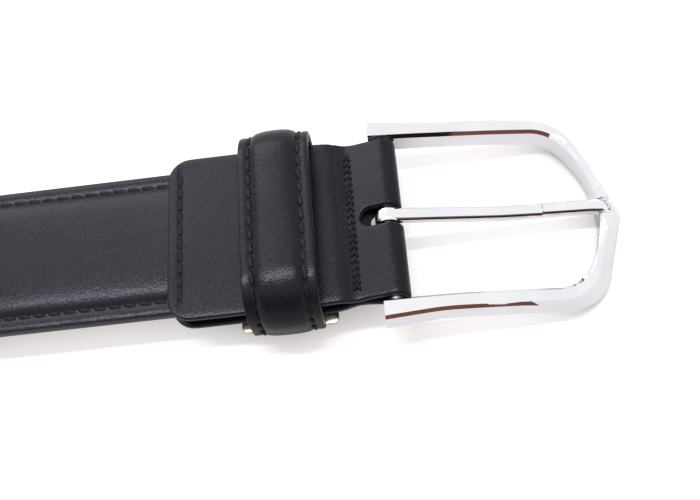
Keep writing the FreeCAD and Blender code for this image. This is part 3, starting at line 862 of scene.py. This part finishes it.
# ------------------------------------------------------------------ chape
@dataclass
class Chape:
    """Leather folded round the buckle bar and stitched over the end of the strap."""

    finishes: Finishes
    half: float = 18.05
    slim: float = 17.35
    end: float = 44.3
    thick: float = 1.4
    gap: float = 1.3
    strap_start: float = 12.0
    dip_at: float = 7.2
    dip_gap: float = 0.15
    dip_radius: float = 5.0
    loop_radius: float = 1.6
    corner: float = 4.6
    neck: float = 14.0
    shoulder: float = 5.0
    ease: float = 20.0
    slot_reach: float = 5.2
    slot_under: float = 3.4
    slot_half: float = 2.1
    edge_round: float = 0.38
    step: float = 2.5
    turn_step: float = math.radians(7)
    cross_step: float = 1.5
    cross_lines: int = 23
    end_row: float = 41.8
    end_row_half: float = 14.3
    end_stitch_count: int = 10
    end_stitch: Stitch = Stitch(2.5, 1.05, 0.66, math.radians(5))
    end_under_height: float = 0.36
    row_sink: float = 0.24
    row_spread: float = 0.46
    crease_at: float = 10.2
    crease_sink: float = 0.16
    crease_spread: float = 0.28
    crease_wander: float = 0.22
    fold_row_half: float = 15.4
    fold_pitch: float = 1.45
    fold_stitch: Stitch = Stitch(2.5, 1.05, 0.85, around=9, rings=8)
    fold_under_height: float = 0.6
    fold_legs: tuple[tuple[float, float], ...] = ((0.72, 0.25), (-0.78, -0.25))
    course: Course = field(init=False)

    def __post_init__(self) -> None:
        """Lay out the inner side of the leather, over the top, round the bar and back."""
        lead = self.strap_start - self.dip_at
        drop = self.gap - self.dip_gap
        ease = (lead ** 2 + drop ** 2) / (4 * drop)
        ease_turn = math.asin(lead / 2 / ease)
        up = self.dip_gap + self.dip_radius
        climb = (math.asin((self.loop_radius + self.dip_radius) / math.hypot(self.dip_at, up))
                 - math.atan2(up, self.dip_at))
        leave = Vector((-self.dip_at + self.dip_radius * math.sin(climb),
                        self.dip_gap + self.dip_radius * (1 - math.cos(climb))))
        touch = Vector((-math.sin(climb), math.cos(climb))) * self.loop_radius
        rise = (touch - leave).length
        self.course = Course(-self.end, BAR_HEIGHT + self.gap, 0.0)
        self.course.straight(self.end - self.strap_start)
        self.course.bend(ease, ease_turn).bend(ease, -ease_turn)
        self.course.bend(self.dip_radius, -climb).straight(rise)
        self.course.bend(self.loop_radius, math.pi + 2 * climb)
        self.course.straight(rise).bend(self.dip_radius, -climb)
        self.course.bend(ease, -ease_turn).bend(ease, ease_turn)
        self.course.straight(self.end - self.strap_start)

    def distance_of(self, back: float) -> float:
        """Distance along the upper ply to a place that far behind the bar."""
        low, high = 0.0, self.course.length / 2
        for _ in range(40):
            middle = (low + high) / 2
            if self.course.place(middle, 0.0)[0] < -back:
                low = middle
            else:
                high = middle
        return low

    def leather(self) -> bmesh.types.BMesh:
        """The leather, cut out flat with its slot, then folded."""
        whole = self.course.length
        neck = self.distance_of(self.neck)
        shoulder = self.distance_of(self.shoulder)
        reach = self.distance_of(self.slot_reach)
        half = [(0.0, self.half, self.corner), (neck, self.half, self.ease),
                (shoulder, self.slim, self.ease)]
        far = [(whole - x, y, r) for x, y, r in reversed(half)]
        near = [(x, -y, r) for x, y, r in reversed(half + far)]
        plan = rounded(half + far + near, arc_steps=7)
        plate = slab(plan, -self.thick, 0.0)
        under = whole - self.distance_of(self.slot_under)
        wide = self.slot_half
        hole = slab(rounded([(reach, wide, wide), (under, wide, wide), (under, -wide, wide),
                             (reach, -wide, wide)], arc_steps=8), -self.thick - 1.0, 1.0)
        plate = combine(plate, hole, "DIFFERENCE")
        round_edges(plate, self.edge_round, 3)
        stations = self.course.stations(self.step, self.turn_step)[1:-1]
        row = self.end - self.end_row
        crease = self.distance_of(self.crease_at)
        for spot in (row, crease):
            stations += [spot + step for step in (-0.8, -0.5, -0.25, 0.0, 0.25, 0.5, 0.8)]
        cross_cuts(plate, Vector((1, 0, 0)), sorted(stations))
        first = -self.cross_step * (self.cross_lines - 1) / 2
        cross_cuts(plate, Vector((0, 1, 0)),
                   [first + self.cross_step * n for n in range(self.cross_lines)])
        for vert in plate.verts:
            if vert.co.z >= -self.thick / 2:
                continue
            if abs(vert.co.y) < self.end_row_half + 0.8:
                away = (vert.co.x - row) / self.row_spread
                vert.co.z += self.row_sink * math.exp(-away ** 2)
            line = crease + self.crease_wander * math.sin(vert.co.y * 0.9)
            away = (vert.co.x - line) / self.crease_spread
            depth = self.crease_sink * smooth_step(-13.0, 6.0, vert.co.y)
            vert.co.z += depth * math.exp(-away ** 2)
        keep_flat_map(plate)
        self.course.lay(plate, Plane.ALONG)
        return plate

    def end_stitches(self, upper: bool) -> bmesh.types.BMesh:
        """Stitches across the end of the chape."""
        row = self.end - self.end_row
        distance = row if upper else self.course.length - row
        count = self.end_stitch_count
        pitch = 2 * self.end_row_half / count
        spots = [(distance, -self.end_row_half + pitch * (n + 0.5), -self.thick + 0.1, QUARTER)
                 for n in range(count)]
        height = self.end_stitch.height if upper else self.end_under_height
        return replace(self.end_stitch, height=height).row(spots)

    def fold_stitches(self, upper: bool) -> bmesh.types.BMesh:
        """Thick zigzag stitches that hold the fold shut."""
        at = self.distance_of(self.dip_at)
        distance = at if upper else self.course.length - at
        count = int(2 * self.fold_row_half / self.fold_pitch)
        spots = []
        for n in range(count):
            across = -self.fold_row_half + self.fold_pitch * (n + 0.5)
            for lean, side in self.fold_legs:
                spots.append((distance + side, across, -self.thick - 0.05, QUARTER + lean))
        height = self.fold_stitch.height if upper else self.fold_under_height
        return replace(self.fold_stitch, height=height).row(spots)

    def build(self) -> None:
        """Make the chape and its stitching."""
        finish_piece("chape_leather", self.leather(), self.finishes.leather, Body.BELT,
                     ("chape_wrap",))
        for name, make, upper, node in (
                ("chape_stitches", self.end_stitches, True, "chape_needle_thread"),
                ("chape_stitches_under", self.end_stitches, False, "chape_bobbin_thread"),
                ("fold_stitches", self.fold_stitches, True, "fold_needle_thread"),
                ("fold_stitches_under", self.fold_stitches, False, "fold_bobbin_thread")):
            seam = make(upper)
            self.course.lay(seam, Plane.ALONG)
            finish_piece(name, seam, self.finishes.thread, Body.BELT, (node,))


# ------------------------------------------------------------------ keeper
@dataclass
class Keeper:
    """Padded leather loop that holds the free end, with its small clip."""

    finishes: Finishes
    centre: float = -21.35
    run: float = 14.2
    floor: float = 7.0
    top: float = 17.8
    inner_half: float = 18.8
    low_corner: float = 1.4
    high_corner: float = 6.0
    lining: float = 0.9
    face: float = 1.1
    step: float = 1.8
    turn_step: float = math.radians(12)
    row: float = 5.05
    stitch_pitch: float = 3.0
    stitch: Stitch = Stitch(2.6, 1.0, 0.6, math.radians(7))
    inner_height: float = 0.26
    clip_corner: float = 1.2
    clip_round: float = 0.14
    course: Course = field(init=False)

    def __post_init__(self) -> None:
        """Lay out the inside of the loop, from the middle of its underside."""
        low, high = self.low_corner, self.high_corner
        side = self.top - self.floor - low - high
        self.course = Course(0.0, self.floor, 0.0)
        self.course.straight(self.inner_half - low).bend(low, -QUARTER).straight(side)
        self.course.bend(high, -QUARTER).straight(2 * (self.inner_half - high))
        self.course.bend(high, -QUARTER).straight(side).bend(low, -QUARTER)
        self.course.straight(self.inner_half - low)

    def upness(self, distance: float) -> float:
        """1 on the top of the loop, 0 underneath and between on the sides."""
        corner = self.inner_half + (self.top - self.floor) / 2
        middle = self.course.length / 2
        away = abs(distance - middle) / middle
        return 1 - smooth_step(0.45, 1.3 * corner / middle, away)

    def section(self) -> list[tuple[float, float]]:
        """Cross-section of the face at full crown."""
        half = self.run / 2
        low, edge = self.lining + 0.02, self.lining + self.face
        side = [(half - 0.1, low), (half, low + 0.15), (half, edge - 0.32),
                (half - 0.12, edge - 0.1), (half - 0.4, edge), (half - 1.2, edge + 0.02),
                (half - 1.6, edge - 0.1), (half - 2.05, edge - 0.26), (half - 2.5, edge - 0.06),
                (half - 2.8, edge + 0.26), (half - 3.4, edge + 0.58), (half - 4.3, edge + 0.82),
                (half - 5.5, edge + 0.96)]
        return side + [(0.0, edge + 1.0)] + [(-x, t) for x, t in reversed(side)]

    def loop(self, section: list[tuple[float, float]], crowned: bool) -> bmesh.types.BMesh:
        """One closed layer of the loop."""
        stations = self.course.stations(self.step, self.turn_step)
        mesh = strip(section, stations, joined=True)
        edge = self.lining + self.face
        for vert in mesh.verts:
            if crowned and vert.co.z > edge:
                vert.co.z = edge + (vert.co.z - edge) * self.upness(vert.co.x)
        keep_flat_map(mesh)
        self.course.lay(mesh, Plane.ROUND, self.centre)
        return mesh

    def stitches(self, stitch: Stitch, aside: float) -> bmesh.types.BMesh:
        """Both rows of stitches round the loop."""
        count = round(self.course.length / self.stitch_pitch)
        pitch = self.course.length / count
        spots = [(pitch * (n + 0.5), side * self.row, aside, 0.0)
                 for n in range(count) for side in (1, -1)]
        seam = stitch.row(spots)
        self.course.lay(seam, Plane.ROUND, self.centre)
        return seam

    def clip(self) -> bmesh.types.BMesh:
        """Small plated clip under the near edge."""
        low, high = (Vector(corner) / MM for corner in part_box("keeper_clip"))
        x0, x1 = low.x - BAR_STATION, high.x - BAR_STATION
        corners = [(x0, low.y), (x1, low.y), (x1, high.y), (x0, high.y)]
        mesh = slab(rounded([(*corner, self.clip_corner) for corner in corners], arc_steps=5),
                    low.z, high.z)
        round_edges(mesh, self.clip_round, 2)
        return mesh

    def build(self) -> None:
        """Make the loop, its stitches and the clip."""
        half = self.run / 2 - 0.05
        inner = [(half, 0.0), (half, self.lining), (-half, self.lining), (-half, 0.0)]
        finish_piece("keeper_loop", self.loop(self.section(), True), self.finishes.leather,
                     Body.KEEPER, ("keeper_face", "keeper_padding"))
        finish_piece("keeper_back", self.loop(inner, False), self.finishes.lining,
                     Body.KEEPER, ("keeper_lining",))
        inner_stitch = replace(self.stitch, height=self.inner_height)
        for name, stitch, aside, node in (
                ("keeper_stitches", self.stitch, self.lining + self.face - 0.1,
                 "keeper_needle_thread"),
                ("keeper_stitches_in", inner_stitch, 0.02, "keeper_bobbin_thread")):
            finish_piece(name, self.stitches(stitch, aside), self.finishes.thread,
                         Body.KEEPER, (node,))
        finish_piece("keeper_plate", self.clip(), self.finishes.brass, Body.KEEPER,
                     ("keeper_clip",))


# ------------------------------------------------------------------ buckle
@dataclass(frozen=True)
class Arch:
    """Arc of a circle through three points of the side view, read as a height."""

    first: tuple[float, float]
    middle: tuple[float, float]
    last: tuple[float, float]

    def height(self, x: float) -> float:
        """Height at a station."""
        (x1, z1), (x2, z2), (x3, z3) = self.first, self.middle, self.last
        a, b, e = 2 * (x2 - x1), 2 * (z2 - z1), x2 * x2 - x1 * x1 + z2 * z2 - z1 * z1
        c, d, f = 2 * (x3 - x1), 2 * (z3 - z1), x3 * x3 - x1 * x1 + z3 * z3 - z1 * z1
        centre_x = (e * d - b * f) / (a * d - b * c)
        centre_z = (a * f - e * c) / (a * d - b * c)
        radius = math.hypot(x1 - centre_x, z1 - centre_z)
        return centre_z + math.sqrt(max(0.0, radius ** 2 - (x - centre_x) ** 2))


@dataclass
class Buckle:
    """Horseshoe frame, its bar and its prong."""

    finishes: Finishes
    end: float = -2.4
    half: float = 21.15
    flare_half: float = 22.2
    flare_run: float = 9.0
    flare_bend: float = 60.0
    corner_at: float = 40.7
    corner: float = 10.6
    point: float = 47.8
    nose: float = 3.0
    ridge_in: float = 0.62
    bevel: float = 2.3
    window_half: float = 17.7
    window_flare: float = 18.0
    window_run: float = 12.0
    window_corner_at: float = 35.1
    window_corner: float = 7.9
    window_point: float = 48.4
    window_front: float = 23.0
    crown: float = 0.18
    crown_lines: int = 5
    front_from: float = 23.0
    front_to: float = 44.0
    facet_from: float = 14.0
    facet_to: float = 17.0
    outer_drop: float = 0.62
    inner_drop: float = 0.80
    lip: float = 0.60
    edge_round: float = 0.12
    edge_angle: float = math.radians(20)
    floor_end: float = 43.5
    rest_half: float = 1.85
    rest_floor: float = 4.62
    rest_run: tuple[float, float] = (38.0, 45.4)
    top: Arch = Arch((-3.4, 13.1), (24.0, 9.9), (48.5, 4.7))
    base: Arch = Arch((-3.4, 7.9), (24.0, 4.9), (43.5, 0.0))
    prong_half: float = 1.5
    prong_tip: float = 45.0
    prong_taper: float = 0.30
    eye: float = 2.6
    eye_bore: float = 1.57
    prong_top: tuple[tuple[float, float], ...] = (
        (-2.35, 11.7), (-2.1, 12.5), (-1.6, 12.95), (-0.9, 13.1), (0.0, 13.1), (22.0, 8.7),
        (31.0, 7.6), (31.2, 7.9), (41.0, 6.9), (43.4, 6.3), (44.4, 5.7), (45.0, 5.1))
    prong_base: tuple[tuple[float, float], ...] = (
        (-2.35, 11.2), (0.0, 10.9), (2.6, 10.9), (22.0, 6.5), (41.0, 4.75), (45.0, 4.75))

    def floor(self, x: float) -> float:
        """Underside of the frame at a station."""
        return max(0.0, self.base.height(x)) if x < self.floor_end else 0.0

    def chain(self, end: float, run: float, half: float, at: float, radius: float,
              point: float, front: float) -> list[tuple[float, float]]:
        """One line round the horseshoe, from the far end of an arm to the near one."""
        side = [(self.end, end, 0.0), (run, half, self.flare_bend), (at, half, radius)]
        turned = [(x, -y, r) for x, y, r in reversed(side)]
        return rounded(side + [(point, 0.0, front)] + turned, arc_steps=14, run_steps=7)

    def lines(self) -> list[list[Vector]]:
        """The lines round the frame that its cross-section goes through."""
        step = self.ridge_in
        outer = self.chain(self.flare_half, self.flare_run, self.half, self.corner_at,
                           self.corner, self.point, self.nose)
        ridge = self.chain(self.flare_half - step, self.flare_run, self.half - step,
                           self.corner_at - self.bevel - 0.5, self.corner - step,
                           self.point - self.bevel, self.nose)
        inner_ridge = self.chain(self.window_flare + step, self.window_run,
                                 self.window_half + step, self.window_corner_at + 0.4,
                                 self.window_corner + step, self.window_point + 1.0,
                                 self.window_front + step)
        window = self.chain(self.window_flare, self.window_run, self.window_half,
                            self.window_corner_at, self.window_corner, self.window_point,
                            self.window_front)
        sections = []
        for out, rim, inn, win in zip(outer, ridge, inner_ridge, window):
            front = smooth_step(self.front_from, self.front_to, out[0])
            facet = smooth_step(self.facet_from, self.facet_to, rim[0])
            sink = self.crown * (0.25 + 0.75 * facet)
            wall = ((1 - front) * (self.top.height(out[0]) - self.outer_drop)
                    + front * (self.floor(out[0]) + self.lip))
            section = [Vector((*out, self.floor(out[0]))), Vector((*out, wall))]
            for number in range(self.crown_lines):
                share = number / (self.crown_lines - 1)
                x, y = (rim[axis] + (inn[axis] - rim[axis]) * share for axis in (0, 1))
                fall = sink * (2 * share - 1) ** 2
                section.append(Vector((x, y, self.top.height(x) - fall)))
            section.append(Vector((*win, self.top.height(win[0]) - self.inner_drop)))
            section.append(Vector((*win, self.floor(win[0]))))
            sections.append(section)
        return [list(line) for line in zip(*sections)]

    def frame_mesh(self) -> bmesh.types.BMesh:
        """The frame: lines bridged one to the next, ends closed, edges softened."""
        mesh = bmesh.new()
        loops = []
        for row in self.lines():
            verts = [mesh.verts.new(point) for point in row]
            loops.append([mesh.edges.new(pair) for pair in zip(verts, verts[1:])])
        for number, loop in enumerate(loops):
            after = loops[(number + 1) % len(loops)]
            bmesh.ops.bridge_loops(mesh, edges=loop + after)
        open_edges = [edge for edge in mesh.edges if edge.is_boundary]
        bmesh.ops.holes_fill(mesh, edges=open_edges, sides=0)
        bmesh.ops.recalc_face_normals(mesh, faces=mesh.faces)
        (back, ahead), wide = self.rest_run, self.rest_half
        rest = slab(rounded([(back, wide, 0.0), (back, -wide, 0.0), (ahead, -wide, 0.9),
                             (ahead, wide, 0.9)], arc_steps=5), self.rest_floor, 9.0)
        mesh = combine(mesh, rest, "DIFFERENCE")
        round_edges(mesh, self.edge_round, 1, self.edge_angle)
        return mesh

    def prong_arm(self) -> bmesh.types.BMesh:
        """The prong's arm, made straight and then shaped in side view."""
        half = self.prong_half
        section = [(half - 0.25, 0.0), (half, 0.12), (half, 0.54), (half - 0.06, 0.63),
                   (half - 0.52, 0.91), (half - 0.75, 0.965), (0.0, 1.0)]
        section += [(-y, t) for y, t in reversed(section[:-1])]
        stations = [-2.35, -2.2, -2.0, -1.7, -1.3, -0.9, -0.4]
        stations += [0.4 * n for n in range(5)] + [2.0 + 1.5 * n for n in range(19)]
        stations += [30.2, 30.8, 31.0, 31.2, 31.45, 31.7, 32.2, 33.5, 35.0, 36.5, 38.0, 39.5]
        stations += [40.5, 41.0, 41.5, 42.2, 42.8, 43.4, 43.9, 44.3, 44.6, 44.85, 45.0]
        mesh = strip(section, stations)
        for vert in mesh.verts:
            x, y, share = vert.co
            low, high = along(self.prong_base, x), along(self.prong_top, x)
            pad = smooth_step(30.95, 31.2, x) * (1 - smooth_step(40.5, 42.0, x))
            if share > 0.95:
                share = share + (0.965 - share) * pad
            narrow = 1 - self.prong_taper * smooth_step(41.5, self.prong_tip, x) ** 2
            vert.co = (x, y * narrow, low + (high - low) * share)
        return mesh

    def prong_eye(self) -> bmesh.types.BMesh:
        """The prong's eye round the bar, spun from its section."""
        mesh = bmesh.new()
        half, out, bore = self.prong_half, self.eye, self.eye_bore
        points = [(half - 0.15, bore), (half, bore + 0.15), (half, out - 0.35),
                  (half - 0.12, out - 0.14), (half - 0.4, out), (0.0, out)]
        points += [(-y, r) for y, r in reversed(points[:-1])]
        ring = ring_of(mesh, [Vector((0.0, y, BAR_HEIGHT + r)) for y, r in points])
        verts = list({vert for edge in ring for vert in edge.verts})
        bmesh.ops.spin(mesh, geom=verts + ring, axis=(0, 1, 0), cent=(0, 0, BAR_HEIGHT),
                       angle=2 * math.pi, steps=40, use_merge=True)
        bmesh.ops.remove_doubles(mesh, verts=mesh.verts, dist=1e-4)
        bmesh.ops.recalc_face_normals(mesh, faces=mesh.faces)
        return mesh

    def build(self) -> None:
        """Make the frame and the prong and dress the bar."""
        finish_piece("buckle_horseshoe", self.frame_mesh(), self.finishes.chrome, Body.BUCKLE,
                     ("buckle_frame",), math.radians(12))
        prong = combine(self.prong_arm(), self.prong_eye(), "UNION")
        bore = bmesh.new()
        bmesh.ops.create_cone(bore, cap_ends=True, segments=40, radius1=self.eye_bore,
                              radius2=self.eye_bore, depth=10.0,
                              matrix=Matrix.Translation((0, 0, BAR_HEIGHT))
                              @ Matrix.Rotation(QUARTER, 4, "X"))
        finish_piece("prong_tongue", combine(prong, bore, "DIFFERENCE"), self.finishes.chrome,
                     Body.PRONG, ("buckle_prong",), math.radians(30))
        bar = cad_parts["buckle_bar"]
        bar.data.materials.clear()
        bar.data.materials.append(self.finishes.steel)


# ------------------------------------------------------------------ studio
@dataclass
class Studio:
    """Pale floor, soft light and the camera."""

    elevation: float = 63.68
    azimuth: float = 7.67
    roll: float = -13.38
    distance: float = 184.6
    focal: float = 917.3
    aim: tuple[float, float, float] = (-8.28, -4.68, 8.0)
    picture_width: float = 700.0
    sensor: float = 36.0
    table_paint: tuple[float, float, float, float] = (0.34, 0.33, 0.335, 1.0)
    table_glow: tuple[float, float, float, float] = (1.0, 0.955, 0.955, 1.0)
    glow_seen: float = 0.74
    glow_mirrored: float = 0.33
    # Reach and least share of the painted shade that ambient occlusion puts on the table's glow.
    shade_reach: float = 0.014
    shade_left: float = 0.12
    surround: float = 0.50

    def camera(self) -> None:
        """Place the camera by its angles, distance and the spot it looks at."""
        up, round_, tip = (math.radians(v) for v in (self.elevation, self.azimuth, self.roll))
        back = Vector((math.sin(round_) * math.cos(up), -math.cos(round_) * math.cos(up),
                       math.sin(up)))
        right = (-back).cross(Vector((0, 0, 1))).normalized()
        above = right.cross(-back)
        turned_right = right * math.cos(tip) + above * math.sin(tip)
        turned_up = above * math.cos(tip) - right * math.sin(tip)
        data = bpy.data.cameras.new("camera")
        data.sensor_width = self.sensor
        data.lens = self.focal / self.picture_width * self.sensor
        data.clip_start = 0.005
        data.clip_end = 50.0
        camera = new_object("camera", data)
        aim = Vector(self.aim) + Vector((BAR_STATION, 0, 0))
        spot = (aim + back * self.distance) * MM
        turn = Matrix((turned_right, turned_up, back)).transposed().to_4x4()
        camera.matrix_world = Matrix.Translation(spot) @ turn
        bpy.context.scene.camera = camera

    def floor(self) -> None:
        """White table that keeps the lamps' shadow, with painted shade: its glow dims by ambient
        occlusion near and under the belt.
        """
        mesh = bmesh.new()
        bmesh.ops.create_grid(mesh, x_segments=1, y_segments=1, size=4.0)
        table = object_of("floor", mesh)
        table.location.z = -0.00005
        shader = Shader("white_table")
        paint = shader.add("ShaderNodeBsdfDiffuse", Color=self.table_paint)
        glow = shader.add("ShaderNodeEmission", Color=self.table_glow)
        path = shader.add("ShaderNodeLightPath")
        mirrored = shader.reckon("MULTIPLY", path.outputs["Is Glossy Ray"], self.glow_mirrored)
        seen = shader.reckon("MULTIPLY_ADD", path.outputs["Is Camera Ray"], self.glow_seen,
                             mirrored)
        # Painted shade: ambient occlusion dims the table's glow near and under the belt and
        # buckle, down to shade_left of its strength, so the pink of the glow shows there.
        glow_painted_shade_occlusion = shader.add("ShaderNodeAmbientOcclusion", Distance=self.shade_reach)
        glow_painted_shade_share = shader.ramp(glow_painted_shade_occlusion.outputs["AO"], 0.05, 0.70, self.shade_left)
        shader.link(shader.reckon("MULTIPLY", seen, glow_painted_shade_share), glow.inputs["Strength"])
        both = shader.add("ShaderNodeAddShader")
        shader.link(paint.outputs[0], both.inputs[0])
        shader.link(glow.outputs[0], both.inputs[1])
        shader.finish(both.outputs[0])
        table.data.materials.append(shader.material)

    def world(self) -> None:
        """Even surround; white where the camera or polished metal sees it."""
        world = bpy.data.worlds.new("surround")
        world.use_nodes = True
        bpy.context.scene.world = world
        nodes = Nodes(world.node_tree)
        ground = nodes.tree.nodes["Background"]
        path = nodes.add("ShaderNodeLightPath")
        seen = nodes.reckon("MAXIMUM", path.outputs["Is Camera Ray"],
                            path.outputs["Is Glossy Ray"])
        clear = nodes.reckon("MAXIMUM", seen, path.outputs["Is Transmission Ray"])
        nodes.link(nodes.ramp(clear, 0.0, 1.0, self.surround), ground.inputs["Strength"])
        ground.inputs["Color"].default_value = (1.0, 1.0, 1.0, 1.0)

    def card(self, name: str, spot: tuple[float, float, float], size: tuple[float, float],
             colour: tuple[float, float, float]) -> None:
        """Card that only polished surfaces see.

        Args:
            name: name of the card.
            spot: its place in metres; it faces the buckle.
            size: width and height in metres.
            colour: its colour.
        """
        mesh = bmesh.new()
        bmesh.ops.create_grid(mesh, x_segments=1, y_segments=1, size=0.5)
        aim = Vector((BAR.x + 0.02, 0, 0.01))
        turn = (aim - Vector(spot)).to_track_quat("Z", "Y").to_matrix().to_4x4()
        scale = Matrix.Diagonal((size[0], size[1], 1, 1))
        bmesh.ops.transform(mesh, verts=mesh.verts, matrix=Matrix.Translation(spot) @ turn @ scale)
        card = object_of(name, mesh)
        card.visible_camera = False
        card.visible_diffuse = False
        card.visible_shadow = False
        card.visible_transmission = False
        shader = Shader(name)
        shader.finish(shader.add("ShaderNodeEmission", Color=(*colour, 1.0)).outputs[0])
        card.data.materials.append(shader.material)

    def lamp(self, name: str, spot: tuple[float, float, float], size: tuple[float, float],
             energy: float, on_matt: float = 1.0) -> None:
        """Soft lamp that faces the belt, its first side along the belt.

        Args:
            name: name of the lamp.
            spot: its place in metres.
            size: its two sides in metres.
            energy: its power in watts.
            on_matt: share of its light that matt surfaces take.
        """
        data = bpy.data.lights.new(name, "AREA")
        data.shape = "RECTANGLE"
        data.size, data.size_y = size
        data.energy = energy
        data.diffuse_factor = on_matt
        place = Vector(spot)
        back = (place - Vector((BAR.x - 0.01, 0, 0.01))).normalized()
        above = back.cross(Vector((1, 0, 0))).normalized()
        turn = Matrix((above.cross(back), above, back)).transposed().to_4x4()
        new_object(name, data).matrix_world = Matrix.Translation(place) @ turn

    def build(self) -> None:
        """Set up everything round the belt."""
        bpy.context.scene.view_settings.view_transform = "Standard"
        self.camera()
        self.floor()
        self.world()
        self.lamp("soft_key", (BAR.x - 0.30, 0.64, 0.60), (0.55, 0.55), 3.9)
        self.lamp("shoulder_light", (BAR.x - 0.12, 0.07, 0.85), (0.80, 0.06), 9.0, on_matt=0.12)
        self.card("dark_front", (BAR.x, -0.9, 0.24), (2.4, 0.32), (0.012, 0.008, 0.008))
        self.card("brown_front", (BAR.x, -0.9, 0.62), (2.4, 0.44), (0.17, 0.07, 0.05))
        self.card("dark_right", (BAR.x + 1.1, 0.25, 0.12), (1.6, 0.10), (0.03, 0.03, 0.04))


def main() -> None:
    """Build every sub-assembly in order, then the studio."""
    finishes = Finishes()
    for part in (Strap(finishes), Chape(finishes), Keeper(finishes), Buckle(finishes)):
        LOG.info("building %s", type(part).__name__)
        part.build()
    Studio().build()


if __name__ == "__main__":
    main()
